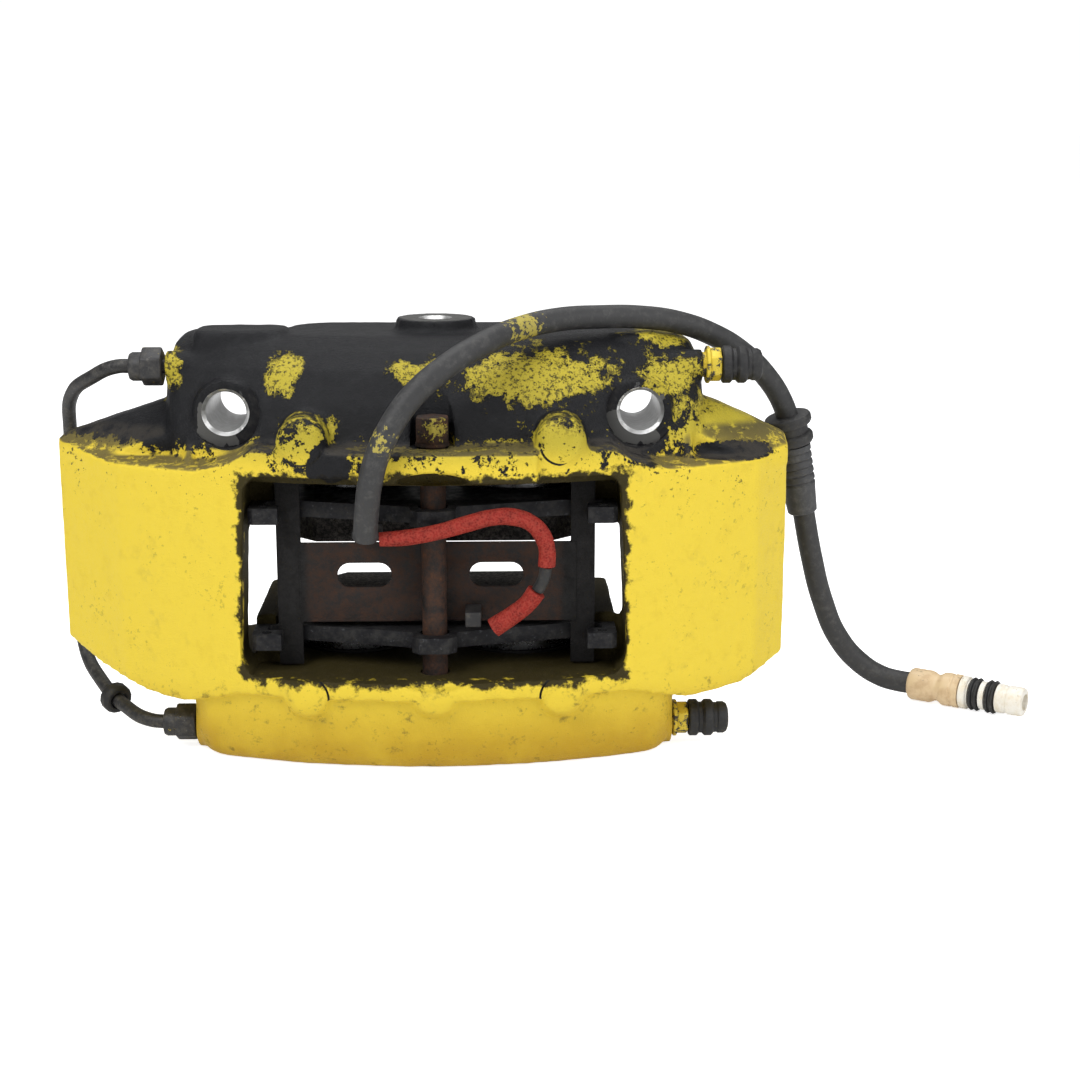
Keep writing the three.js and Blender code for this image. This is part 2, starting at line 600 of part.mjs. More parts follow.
// ---- pads --------------------------------------------------------------------------------
function plateOutline() {
  const leg = SPRING_Y + SPRING_THICKNESS;
  const hookInner = EAR_HALF_WIDTH - 9.2;
  const right = [
    [TAB_HALF_WIDTH - 2.4, TAB_FRONT], [TAB_HALF_WIDTH, TAB_FRONT + 2.4], [TAB_HALF_WIDTH, 14],
    [13, 16], [SPRING_LEFT - 2, leg + 2.2], [PAD_HALF_WIDTH + 2.8, leg + 2.2],
    [PAD_HALF_WIDTH + 2.8, leg - 3], [hookInner, leg - 3], [hookInner, 12],
    [EAR_HALF_WIDTH - 1.5, 12], [EAR_HALF_WIDTH, 13], [EAR_HALF_WIDTH, BACK_OF_EAR],
    [PAD_HALF_WIDTH, BACK_OF_EAR], [PAD_HALF_WIDTH, PAD_BACK - 14], [PAD_HALF_WIDTH - 12, PAD_BACK],
  ];
  const left = right.map(([x, y]) => [-x, y]).reverse();
  return polygon([...right, ...left]);
}

function backingPlate(z) {
  const outline = plateOutline();
  const earHole = 1.6;
  const plate = toSolid(extrude('z', outline, z, z + PLATE_THICKNESS));
  const holes = [-1, 1].map((side) =>
    rod('z', earHole, z - 1, z + PLATE_THICKNESS + 1, 12).translate([side * (EAR_HALF_WIDTH - 4.4), 15.2, 0]));
  const pinHole = rod('z', PIN_RADIUS + 2 * CLEARANCE, z - 1, z + PLATE_THICKNESS + 1, 20);
  return cut(plate, pinHole.translate([0, PIN_Y, 0]), ...holes);
}

function liningOutline() {
  const w = LINING_HALF_WIDTH;
  const back = PAD_BACK - 3;
  return polygon([
    [-w, LINING_FRONT + 8], [-w + 8, LINING_FRONT], [w - 8, LINING_FRONT], [w, LINING_FRONT + 8],
    [w, back - 16], [w - 14, back], [-w + 14, back], [-w, back - 16],
  ]);
}

function lining(z, thickness) {
  const groove = 1.2;
  const block = toSolid(extrude('z', liningOutline(), z, z + thickness));
  return { block, slit: (z0, z1) => box(-groove, groove, LINING_FRONT - 1, PAD_BACK, z0, z1) };
}

const PLATE_IN = FACE_IN - PLATE_BACK - PLATE_THICKNESS;
const PLATE_OUT = FACE_OUT + PLATE_BACK;
const LINING_IN = PLATE_IN - CLEARANCE - INBOARD_LINING_THICKNESS;
const LINING_OUT = PLATE_OUT + PLATE_THICKNESS + CLEARANCE;
const GROOVE_DEPTH = 2;

add('pad_backing_plate_inboard', backingPlate(PLATE_IN), '#2b2c2f', 0.65, 0.4);
add('pad_backing_plate_outboard', backingPlate(PLATE_OUT), '#2b2c2f', 0.65, 0.4);

const liningIn = lining(LINING_IN, INBOARD_LINING_THICKNESS);
const liningOut = lining(LINING_OUT, LINING_THICKNESS);
const outerSkin = LINING_OUT + LINING_THICKNESS;
add('pad_lining_inboard', cut(liningIn.block, liningIn.slit(LINING_IN - 1, LINING_IN + GROOVE_DEPTH)),
  '#3a3835', 0.95, 0);
add('pad_lining_outboard', cut(liningOut.block, liningOut.slit(outerSkin - GROOVE_DEPTH, outerSkin + 1)),
  '#3a3835', 0.95, 0);

// ---- pad pin and spring ------------------------------------------------------------------
function padPin() {
  const tip = FACE_OUT - PIN_END_DEPTH;
  const seat = RAIL_TOP + CLEARANCE;
  const shank = turned('z', [
    [0, tip], [PIN_RADIUS - 1, tip], [PIN_RADIUS, tip + 1], [PIN_RADIUS, seat + 1], [0, seat + 1],
  ], 20);
  const head = toSolid(extrude('z', polygon(hexagon(PIN_HEAD_ACROSS)), seat, seat + PIN_HEAD_HEIGHT));
  return join(toSolid(shank), head).translate([0, PIN_Y, 0]);
}

function padSpring() {
  const front = SPRING_Y;
  const back = SPRING_Y + SPRING_THICKNESS;
  const low = MIDDLE - SPRING_HEIGHT / 2 - 2.8;
  const high = low + SPRING_HEIGHT;
  const sheet = box(-SPRING_LEFT, SPRING_RIGHT, front, back, low, high);
  const legs = [-SPRING_LEFT - SPRING_LEG_WIDTH + 0.5, SPRING_RIGHT - 1.8].map((x) =>
    box(x, x + SPRING_LEG_WIDTH, front + 0.4, back + 0.4, FACE_OUT + 0.5, FACE_IN - 0.5));
  const slotWidth = 17;
  const slotHeight = 7.8;
  const slots = [-22, 19.4].map((x) => {
    const r = slotHeight / 2;
    const outline = new THREE.Shape();
    outline.absarc(slotWidth / 2 - r, 0, r, -Math.PI / 2, Math.PI / 2);
    outline.absarc(-slotWidth / 2 + r, 0, r, Math.PI / 2, 1.5 * Math.PI);
    return toSolid(extrude('y', outline, front - 3, back + 3)).translate([x, 0, MIDDLE - 0.5]);
  });
  return cut(join(sheet, ...legs), ...slots);
}

add('pad_pin', padPin(), '#6a4436', 0.7, 0.6);
add('pad_spring', padSpring(), '#4c3a34', 0.75, 0.6);

// ---- crossover pipe with its nuts and clip -----------------------------------------------
const PIPE_START = 1.2; // of the pipe's end inside its socket
const pipeRoute = [
  point(-INBOARD_LEFT + PIPE_START, INBOARD_FITTING_Y, INBOARD_FITTING_Z),
  point(-INBOARD_LEFT - 8, INBOARD_FITTING_Y, INBOARD_FITTING_Z),
  point(-INBOARD_LEFT - 15, INBOARD_FITTING_Y, INBOARD_FITTING_Z),
  point(-INBOARD_LEFT - 24, 50, INBOARD_FITTING_Z - 4),
  point(-WING_LEFT + 1.6, 62.5, INBOARD_FITTING_Z - 12),
  point(-WING_LEFT - 1.8, 72.8, INBOARD_FITTING_Z - 25),
  point(-WING_LEFT - 1.5, 75, MIDDLE + 12),
  point(-WING_LEFT - 1.5, 75, MIDDLE - 16),
  point(-WING_LEFT - 0.8, 71.5, OUTBOARD_FITTING.z + 15),
  point(-WING_LEFT + 7.5, 58, OUTBOARD_FITTING.z + 6),
  point(-WING_LEFT + 18, 44, OUTBOARD_FITTING.z + 1.6),
  point(-OUTBOARD_LEFT - 16, 35, OUTBOARD_FITTING.z),
  point(-OUTBOARD_LEFT - 8, OUTBOARD_FITTING.y, OUTBOARD_FITTING.z),
  point(-OUTBOARD_LEFT + PIPE_START, OUTBOARD_FITTING.y, OUTBOARD_FITTING.z),
];
const pipeCurve = new THREE.CatmullRomCurve3(pipeRoute, false, 'centripetal');
add('crossover_pipe', tubeAlong(pipeCurve, PIPE_RADIUS, 10, 44), '#2e2e30', 0.55, 0.5);

function crossoverNut({ y, z, left }) {
  const seat = -left - CLEARANCE;
  const hex = toSolid(extrude('x', polygon(hexagon(NUT_ACROSS)), seat - NUT_LENGTH, seat, 4));
  const collar = rod('x', NUT_COLLAR_RADIUS, seat - NUT_LENGTH - NUT_COLLAR_LENGTH, seat - 1, 20);
  const bore = rod('x', PIPE_RADIUS + 2 * CLEARANCE, seat - 20, seat + 2, 16);
  return cut(join(hex, collar), bore).translate([0, y, z]);
}

FITTINGS.forEach((fitting) =>
  add(`crossover_nut_${fitting.half}`, crossoverNut(fitting), '#3a3a3c', 0.5, 0.7));

// ring that hugs a curve at the share t of its length
function ringOn(curve, t, profile, segments = 16) {
  const centre = curve.getPointAt(t);
  const turn = new THREE.Quaternion().setFromUnitVectors(point(0, 1, 0), curve.getTangentAt(t));
  const lathe = new THREE.LatheGeometry(profile.map(([r, h]) => new THREE.Vector2(r, h)), segments);
  return lathe.applyQuaternion(turn).translate(centre.x, centre.y, centre.z);
}

const CLIP_PLACE = 0.815;
const clipProfile = [
  [PIPE_RADIUS + 2 * CLEARANCE, -2.6], [PIPE_RADIUS + 1.8, -2.6], [PIPE_RADIUS + 2.8, -1.4],
  [PIPE_RADIUS + 2.8, 1.4], [PIPE_RADIUS + 1.8, 2.6], [PIPE_RADIUS + 2 * CLEARANCE, 2.6],
  [PIPE_RADIUS + 2 * CLEARANCE, -2.6],
];
add('pipe_clip', toSolid(ringOn(pipeCurve, CLIP_PLACE, clipProfile)), '#141416', 0.6, 0);

// ---- bleed screws and caps ---------------------------------------------------------------
FITTINGS.forEach(({ half, y, z, right }) => {
  const seat = right + CLEARANCE;
  const hexEnd = seat + BLEED_HEX_LENGTH;
  const thread = rod('x', BLEED_THREAD_RADIUS, right - BLEED_THREAD_LENGTH, seat + 1, 20);
  const washer = rod('x', BLEED_HEX_ACROSS / 2 + 1.2, seat, seat + 1.4, 24);
  const hex = toSolid(extrude('x', polygon(hexagon(BLEED_HEX_ACROSS)), seat + 0.5, hexEnd));
  const nipple = toSolid(turned('x', [
    [0, hexEnd - 1], [NIPPLE_RADIUS - 0.6, hexEnd - 1], [NIPPLE_RADIUS - 0.6, hexEnd + NIPPLE_LENGTH - 4],
    [NIPPLE_RADIUS, hexEnd + NIPPLE_LENGTH - 3], [NIPPLE_RADIUS - 0.8, hexEnd + NIPPLE_LENGTH],
    [0, hexEnd + NIPPLE_LENGTH],
  ], 20));
  add(`bleed_screw_${half}`, join(thread, washer, hex, nipple).translate([0, y, z]), '#55524c', 0.5, 0.8);
  const mouth = hexEnd + CLEARANCE;
  const inner = NIPPLE_RADIUS + CLEARANCE;
  const closed = hexEnd + NIPPLE_LENGTH + CLEARANCE;
  const end = mouth + CAP_LENGTH;
  const cap = toSolid(turned('x', [
    [inner, mouth], [CAP_RADIUS, mouth], [CAP_RADIUS, mouth + 3], [CAP_RADIUS - 0.7, mouth + 3.4],
    [CAP_RADIUS - 0.7, mouth + 4.6], [CAP_RADIUS, mouth + 5], [CAP_RADIUS, mouth + 7.6],
    [CAP_RADIUS - 0.9, mouth + 8.2], [CAP_RADIUS - 0.9, end - 1.2], [CAP_RADIUS - 2, end], [0, end],
    [0, closed], [inner, closed], [inner, mouth],
  ], 16));
  add(`bleed_cap_${half}`, cap.translate([0, y, z]), '#17171a', 0.6, 0);
});

// ---- pad-wear sensor cable ---------------------------------------------------------------
// route of the cable's middle line, from the sensor heads in the window over the inboard half,
// through the grommet behind the right wing and down to the surface
const cableRoute = [
  [-20.2, 1, 76.6], [-19.4, -1.5, 86], [-18, -4.4, 95], [-15.6, -4.6, 103.5], [-11.2, -3, 112.3],
  [-4.5, 0, 121], [4.8, 4.4, 128.4], [15, 13.2, 133.6], [27.2, 28, 137], [40, 38, 138.6],
  [52.6, 44.5, 138.6], [66, 49, 138], [79.3, 54, 135.6], [91, 58.5, 131], [100.2, 62.5, 125.3],
  [109.5, 66.4, 116.5], [116.3, 69.3, 106], [118.9, 70.4, 97.6], [121, 71.3, 88], [123, 72.2, 78],
  [125, 73.1, 68], [128.6, 75.4, 52], [133.4, 78.4, 35.8], [140.2, 81.2, 21], [148.6, 82, 11.4],
  [156, 80.6, 7], [161, 78, 6.1],
];
const CONNECTOR_AXIS = point(34.3, -23.1, 0).normalize();
const CONNECTOR_START = point(165.2, 75.2, 6.1);
const cablePoints = [
  ...cableRoute.map(([x, y, z]) => point(x, y, z)),
  CONNECTOR_START.clone().addScaledVector(CONNECTOR_AXIS, -CLEARANCE),
];
const cableCurve = new THREE.CatmullRomCurve3(cablePoints, false, 'centripetal');
const cableLength = cableCurve.getLength();
add('sensor_cable', tubeAlong(cableCurve, CABLE_RADIUS, 10, 40), '#4a4a4c', 0.6, 0);

const GROMMET_LENGTH = 10;
const BOOT_LENGTH = 24;
const onCable = (index) => {
  const target = cablePoints[index];
  const samples = 400;
  const shares = spread(0, 1, samples);
  return shares.reduce((best, t) => (
    cableCurve.getPointAt(t).distanceTo(target) < cableCurve.getPointAt(best).distanceTo(target) ? t : best), 0);
};
const sleeve = CABLE_RADIUS + 3 * CLEARANCE;
const grommetPlace = onCable(17);
const grommetProfile = [
  [sleeve, -GROMMET_LENGTH / 2], [7.5, -GROMMET_LENGTH / 2], [7.8, -1.6], [6, -1.2], [6, 1.2],
  [7.2, 1.6], [6.6, GROMMET_LENGTH / 2], [sleeve, GROMMET_LENGTH / 2], [sleeve, -GROMMET_LENGTH / 2],
];
add('cable_grommet', toSolid(ringOn(cableCurve, grommetPlace, grommetProfile, 16)), '#262628', 0.7, 0);
const bootPlace = grommetPlace + (GROMMET_LENGTH / 2 + 2 * CLEARANCE + BOOT_LENGTH / 2) / cableLength;
const bootProfile = [
  [sleeve, -BOOT_LENGTH / 2], [6, -BOOT_LENGTH / 2], [5.9, 0], [5.2, BOOT_LENGTH / 2],
  [sleeve, BOOT_LENGTH / 2], [sleeve, -BOOT_LENGTH / 2],
];
add('cable_boot', toSolid(ringOn(cableCurve, bootPlace, bootProfile, 16)), '#3c3c3e', 0.7, 0);

// connector, drawn along its own axis from the cable outwards
function onConnector(profile, segments = 16) {
  const turn = new THREE.Quaternion().setFromUnitVectors(point(0, 1, 0), CONNECTOR_AXIS);
  const lathe = new THREE.LatheGeometry(profile.map(([r, h]) => new THREE.Vector2(r, h)), segments);
  return toSolid(lathe.applyQuaternion(turn).translate(...CONNECTOR_START.toArray()));
}

const SLEEVE_END = 18.5;
add('connector_sleeve', onConnector([
  [0, 0], [5, 0], [5.6, 1], [5.6, 8], [4.7, 9.5], [4.7, 11], [5.8, 12.5], [5.8, SLEEVE_END], [0, SLEEVE_END],
]), '#e3cba2', 0.55, 0);
const NOSE_START = SLEEVE_END + CLEARANCE;
const ORINGS = [NOSE_START + 3.6, NOSE_START + 9.4];
const ORING_WIDTH = 3;
const grooves = ORINGS.flatMap((start) => [
  [4.9, start - CLEARANCE], [3.6, start - CLEARANCE],
  [3.6, start + ORING_WIDTH + CLEARANCE], [4.9, start + ORING_WIDTH + CLEARANCE],
]);
add('connector_nose', onConnector([
  [0, NOSE_START], [5.6, NOSE_START], [5.6, NOSE_START + 2.4], [4.9, NOSE_START + 2.8], ...grooves,
  [4.9, 40], [4.2, 41], [0, 41],
]), '#efe8e0', 0.4, 0);
ORINGS.forEach((start, i) => add(`connector_oring_${i + 1}`, onConnector([
  [3.9, start], [5.4, start], [5.8, start + ORING_WIDTH / 2], [5.4, start + ORING_WIDTH],
  [3.9, start + ORING_WIDTH], [3.9, start],
]), '#161618', 0.7, 0));

// ---- sensor leads and heads inside the window --------------------------------------------
function leadAlong(route, radius, steps) {
  const curve = new THREE.CatmullRomCurve3(route.map(([x, y, z]) => point(x, y, z)), false, 'centripetal');
  return tubeAlong(curve, radius, 8, steps);
}

const leadTurn = [
  [-16, 2.4, 76.1], [-8, 2.4, 76.6], [2, 2.3, 78.4], [11, 2.4, 80.9], [18, 2.8, 82.6], [24.5, 3.4, 82.6],
  [30, 4.4, 80.4], [33.4, 5.4, 76.4], [34.9, 6, 71.6], [34.8, 6.2, 66.6],
];
add('sensor_lead_inboard', leadAlong(leadTurn, LEAD_RADIUS, 20), '#b5362c', 0.7, 0);
const leadDrop = [[31.7, 7.2, 58.2], [29, 7.6, 54.4], [24.2, 8, 50.4], [18.4, 8.4, 46.4]];
add('sensor_lead_outboard', leadAlong(leadDrop, LEAD_RADIUS + 0.3, 8), '#b5362c', 0.7, 0);
add('sensor_lead_core', leadAlong([[34.6, 6.3, 66.2], [33.9, 6.6, 62.4], [32, 7.1, 58.6]], 1.9, 4),
  '#232325', 0.6, 0);
add('sensor_head_inboard', box(-24.6, -15.8, 5.4, 16, 75.4, 77.9), '#2a2a2c', 0.6, 0);
add('sensor_head_outboard', box(9.6, 14.6, 9.4, SPRING_Y - CLEARANCE, 46.2, 51), '#222224', 0.6, 0);

// ---- the assembly, standing on the middle of its footprint -------------------------------
const CORD_PARTS = new Set(['sensor_cable', 'cable_grommet', 'cable_boot', 'connector_sleeve',
  'connector_nose', 'connector_oring_1', 'connector_oring_2']);
const footprint = new THREE.Box3();
parts.filter((mesh) => !CORD_PARTS.has(mesh.name)).forEach((mesh) => footprint.expandByObject(mesh));
const centre = footprint.getCenter(point(0, 0, 0));

const caliper = new THREE.Group();
caliper.add(...parts);
caliper.position.set(-centre.x, -centre.y, -footprint.min.z);

export default caliper;
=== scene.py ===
"""Looks of a worn fixed four-piston brake caliper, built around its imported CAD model.

Lengths in the tables below are millimetres in the caliper's own drawing coordinates: X from
midway between the mounting bolts, Y from the front of the bridge, Z from the outboard face.
place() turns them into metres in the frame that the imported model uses.
"""

import json
import math

import bmesh
import bpy
from mathutils import Matrix, Vector, noise


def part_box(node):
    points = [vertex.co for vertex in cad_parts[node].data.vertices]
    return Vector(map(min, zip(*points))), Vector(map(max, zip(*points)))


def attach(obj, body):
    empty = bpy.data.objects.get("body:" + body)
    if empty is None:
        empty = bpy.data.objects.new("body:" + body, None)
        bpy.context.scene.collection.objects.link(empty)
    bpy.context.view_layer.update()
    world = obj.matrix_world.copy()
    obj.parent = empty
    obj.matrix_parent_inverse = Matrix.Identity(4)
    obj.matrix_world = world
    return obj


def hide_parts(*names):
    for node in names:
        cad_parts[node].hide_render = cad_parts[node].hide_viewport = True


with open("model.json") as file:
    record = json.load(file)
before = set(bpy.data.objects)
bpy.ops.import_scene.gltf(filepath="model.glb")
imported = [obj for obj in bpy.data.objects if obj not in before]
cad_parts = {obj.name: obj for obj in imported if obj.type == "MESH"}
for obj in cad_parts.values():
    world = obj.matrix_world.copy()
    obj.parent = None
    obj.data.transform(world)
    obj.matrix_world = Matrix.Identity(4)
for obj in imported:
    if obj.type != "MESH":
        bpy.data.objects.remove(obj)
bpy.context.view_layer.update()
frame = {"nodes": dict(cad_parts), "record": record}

WELD = 2e-5  # metres, for merging doubles
MM = 0.001

# ---- where the drawing's coordinates lie in the frame --------------------------------------
BOLT_SPACING = 130
EAR_BACK = 67
mounts = {mount["name"]: mount for mount in frame["record"]["mounts"]}
left_ear = Vector(mounts["ear_back_left"]["pos_m"])
right_ear = Vector(mounts["ear_back_right"]["pos_m"])
DATUM = Vector(((left_ear.x + right_ear.x) / 2, left_ear.y - EAR_BACK * MM, 0))


def place(x, y, z):
    """A point of the drawing, in the frame's metres."""
    return DATUM + Vector((x, y, z)) * MM


# ---- sizes shared with the CAD model -------------------------------------------------------
FACE_OUT, FACE_IN = 31, 91
RAIL_TOP, SHELF_TOP = 102.5, 95.5
BAND_BOTTOM = 25
PORT_TOP = 136.8
BOLT_X, BOLT_Z = BOLT_SPACING / 2, 110.7
BOLT_BORE, BOSS_RADIUS, BOSS_FRONT = 12.8, 10.2, 30
PORT_Y, PORT_BORE, PORT_DEPTH = 62, 8.5, 18
PIN_Y, PIN_RADIUS = 14.6, 4
PISTON_Y, PISTON_SPREAD = 57, 27
RETRACTION = 7.1  # of a piston's face out of its cylinder
INBOARD_LEFT, INBOARD_RIGHT = 86, 86.5
OUTBOARD_LEFT, OUTBOARD_RIGHT = 78, 76.5
FITTINGS = {  # y and z of the pipe's and bleed screw's line, and the ends of the half it crosses
    "inboard": (45, 123.2, INBOARD_LEFT, INBOARD_RIGHT),
    "outboard": (33, 8.4, OUTBOARD_LEFT, OUTBOARD_RIGHT),
}
PISTONS = {"left": (-PISTON_SPREAD, 18), "right": (PISTON_SPREAD, 20)}
CYLINDER_DEPTH = 24.6
PISTON_LENGTH = 24
SEAL_SETBACK = 6.2  # from the mouth of the cylinder
RIM_RADIUS = 187

# ---- camera --------------------------------------------------------------------------------
CAMERA_PLACE = (18.253, -544.319, 203.636)
CAMERA_PITCH, CAMERA_YAW = 13.173, 1.507  # degrees down and to the right
FOCAL_LENGTH, SENSOR = 61.67, 36

camera = bpy.data.objects.new("camera", bpy.data.cameras.new("camera"))
camera.data.lens, camera.data.sensor_width = FOCAL_LENGTH, SENSOR
camera.data.clip_start, camera.data.clip_end = 0.01, 50
camera.location = place(*CAMERA_PLACE)
camera.rotation_euler = (math.radians(90 - CAMERA_PITCH), 0, math.radians(-CAMERA_YAW))
bpy.context.scene.collection.objects.link(camera)
bpy.context.scene.camera = camera


# ---- shader graphs -------------------------------------------------------------------------
class Graph:
    """Adds nodes to a node tree and joins them as it goes."""

    def __init__(self, tree):
        self.tree = tree

    def add(self, kind, inputs=None, output=0, **settings):
        node = self.tree.nodes.new("ShaderNode" + kind)
        for name, value in settings.items():
            setattr(node, name, value)
        for key, value in (inputs or {}).items():
            if isinstance(value, bpy.types.NodeSocket):
                self.tree.links.new(value, node.inputs[key])
            else:
                node.inputs[key].default_value = value
        return node.outputs[output]

    def math(self, operation, a, b=0.0, clamp=False):
        return self.add("Math", {0: a, 1: b}, operation=operation, use_clamp=clamp)

    def step(self, value, low, high, to_low=0.0, to_high=1.0):
        """Rises smoothly from to_low to to_high while value goes from low to high."""
        limits = {"Value": value, 1: low, 2: high, 3: to_low, 4: to_high}
        return self.add("MapRange", limits, interpolation_type="SMOOTHSTEP")

    def mix(self, factor, a, b):
        sockets = {0: factor, 6: a, 7: b}
        return self.add("Mix", sockets, output=2, data_type="RGBA")

    def noise(self, vector, scale, detail=4.0, roughness=0.55):
        sockets = {"Vector": vector, "Scale": scale, "Detail": detail, "Roughness": roughness}
        return self.add("TexNoise", sockets)

    def vector(self, operation, a, b=(0, 0, 0), output=0):
        return self.add("VectorMath", {0: a, 1: b}, output=output, operation=operation)

    def within(self, point, centre, radii):
        """1 at the centre of an ellipsoid, 0 on its surface, negative outside."""
        offset = self.vector("SUBTRACT", point, centre)
        scaled = self.vector("DIVIDE", offset, radii)
        distance = self.vector("LENGTH", scaled, output=1)
        return self.math("SUBTRACT", 1.0, distance)

    def any_of(self, values):
        total = values[0]
        for value in values[1:]:
            total = self.math("MAXIMUM", total, value)
        return total


def shader_group(name, inputs, outputs, fill):
    """A node group with named inputs and outputs; fill(graph, inputs) returns the output values."""
    tree = bpy.data.node_groups.new(name, "ShaderNodeTree")
    for label, kind, value in inputs:
        socket = tree.interface.new_socket(label, in_out="INPUT", socket_type="NodeSocket" + kind)
        if value is not None:
            socket.default_value = value
    for label, kind in outputs:
        tree.interface.new_socket(label, in_out="OUTPUT", socket_type="NodeSocket" + kind)
    start, end = tree.nodes.new("NodeGroupInput"), tree.nodes.new("NodeGroupOutput")
    results = fill(Graph(tree), {label: start.outputs[label] for label, _, _ in inputs})
    for (label, _), value in zip(outputs, results):
        tree.links.new(value, end.inputs[label])
    return tree


def use_group(graph, group, inputs, output=0):
    node = graph.tree.nodes.new("ShaderNodeGroup")
    node.node_tree = group
    for label, value in inputs.items():
        if isinstance(value, bpy.types.NodeSocket):
            graph.tree.links.new(value, node.inputs[label])
        else:
            node.inputs[label].default_value = value
    return node.outputs[output]


def fill_grain(graph, given):
    """Fine pitted surface of a casting or a moulding, from coarse swells to pin holes."""
    swell = graph.noise(given["Vector"], given["Scale"], 3.0)
    finer = graph.math("MULTIPLY", given["Scale"], 4.3)
    grit = graph.noise(given["Vector"], finer, 5.0, 0.7)
    both = graph.math("ADD", graph.math("MULTIPLY", swell, 0.45), graph.math("MULTIPLY", grit, 0.55))
    return [both]


def fill_wear(graph, given):
    """Mask of rubbed edges: convex edges, broken up by noise."""
    edge = graph.add("NewGeometry", output=7)
    patches = graph.noise(given["Vector"], given["Scale"], 5.0, 0.65)
    bent = graph.math("ADD", edge, graph.math("MULTIPLY", graph.math("SUBTRACT", patches, 0.5), 0.16))
    limit = graph.math("SUBTRACT", 0.62, graph.math("MULTIPLY", given["Amount"], 0.1))
    return [graph.step(bent, limit, graph.math("ADD", limit, 0.03))]


def fill_specks(graph, given):
    """Mask of small scattered chips, where two noises meet."""
    fine = graph.noise(given["Vector"], given["Scale"], 3.0, 0.7)
    area = graph.noise(given["Vector"], graph.math("MULTIPLY", given["Scale"], 0.13), 3.0)
    sum_of = graph.math("ADD", fine, graph.math("MULTIPLY", area, 0.5))
    limit = graph.math("SUBTRACT", 1.04, graph.math("MULTIPLY", given["Amount"], 0.3))
    return [graph.step(sum_of, limit, graph.math("ADD", limit, 0.03))]


def fill_rust(graph, given):
    """Colour and roughness of rusted steel, from dark scale to orange bloom."""
    bloom = graph.noise(given["Vector"], 240.0, 6.0, 0.7)
    spots = graph.noise(given["Vector"], 1100.0, 4.0, 0.7)
    share = graph.math("ADD", graph.math("MULTIPLY", bloom, 0.7), graph.math("MULTIPLY", spots, 0.3))
    base = graph.mix(graph.step(share, 0.38, 0.62), (0.014, 0.011, 0.010, 1), (0.072, 0.034, 0.020, 1))
    colour = graph.mix(graph.step(share, 0.56, 0.72, 0.0, given["Amount"]), base, (0.17, 0.065, 0.026, 1))
    return [colour, graph.step(share, 0.3, 0.7, 0.55, 0.9), spots]


GRAIN = shader_group("grain", [("Vector", "Vector", None), ("Scale", "Float", 300.0)],
                     [("Height", "Float")], fill_grain)
WEAR = shader_group("edge_wear", [("Vector", "Vector", None), ("Scale", "Float", 300.0),
                                  ("Amount", "Float", 0.5)], [("Mask", "Float")], fill_wear)
SPECKS = shader_group("specks", [("Vector", "Vector", None), ("Scale", "Float", 700.0),
                                 ("Amount", "Float", 0.5)], [("Mask", "Float")], fill_specks)
RUST = shader_group("rust", [("Vector", "Vector", None), ("Amount", "Float", 0.5)],
                    [("Colour", "Color"), ("Roughness", "Float"), ("Height", "Float")], fill_rust)


def material(name, paint, **constants):
    """A material whose paint(graph, point) returns the shader's varying inputs and its bump height."""
    made = bpy.data.materials.new(name)
    made.use_nodes = True
    tree = made.node_tree
    shader = tree.nodes["Principled BSDF"]
    for label, value in constants.items():
        shader.inputs[label.replace("_", " ")].default_value = value
    graph = Graph(tree)
    point = graph.add("TexCoord", output=3)
    values, height, distance = paint(graph, point)
    for label, value in values.items():
        if isinstance(value, bpy.types.NodeSocket):
            tree.links.new(value, shader.inputs[label])
        else:
            shader.inputs[label].default_value = value
    if height is not None:
        bump = graph.add("Bump", {"Height": height, "Distance": distance, "Strength": 1.0})
        tree.links.new(bump, shader.inputs["Normal"])
    return made


# ---- paint of the body ---------------------------------------------------------------------
# the second yellow is a deeper orange that also holds painted shade of the downward-facing foot
YELLOW, YELLOW_DEEP_SHADED = (0.83, 0.625, 0.052, 1), (0.54, 0.335, 0.020, 1)
# the second colour here is the near-black of grime and painted shade in the window
BLACK_PAINT, GRIME_AND_SHADE = (0.0085, 0.0088, 0.0105, 1), (0.007, 0.006, 0.005, 1)
BARE, BARE_LIGHT = (0.62, 0.62, 0.61, 1), (0.78, 0.78, 0.78, 1)

# patches of yellow left on the black inboard half: centre and half sizes
PATCHES = [
    ((-64, 12, 97), (26, 20, 6)), ((16, 6, 98.5), (46, 12, 6.5)), ((-38, 10, 105), (9, 12, 8)),
    ((-46, 26, 123), (5, 26, 6)), ((-7, 24, 124), (7, 26, 3)), ((31, 26, 122), (23, 30, 8)),
    ((39, 8, 104), (11, 14, 9)), ((75, 45, 133), (12, 24, 4)), ((76, 38, 121), (11, 26, 6)),
    ((101, 45, 104), (28, 40, 15)), ((-84, 45, 122), (5, 12, 7)), ((-110, 45, 97), (20, 30, 4)),
]
GAPS = [((-31, 4, 98), (7, 14, 9)), ((94, 40, 97), (16, 16, 4))]  # black between the patches


# the window in the bridge, as its grime and painted shade lie, and the wings' ends
RIM_HALF_WIDTH, RIM_MIDDLE, RIM_HALF_HEIGHT = 59.0, 62.5, 32.0
SLOT_MIDDLE = 61.0


def drawing_point(graph, point):
    """The point in the drawing's millimetres."""
    local = graph.vector("SCALE", graph.vector("SUBTRACT", point, tuple(DATUM)))
    local.node.inputs["Scale"].default_value = 1 / MM
    return local


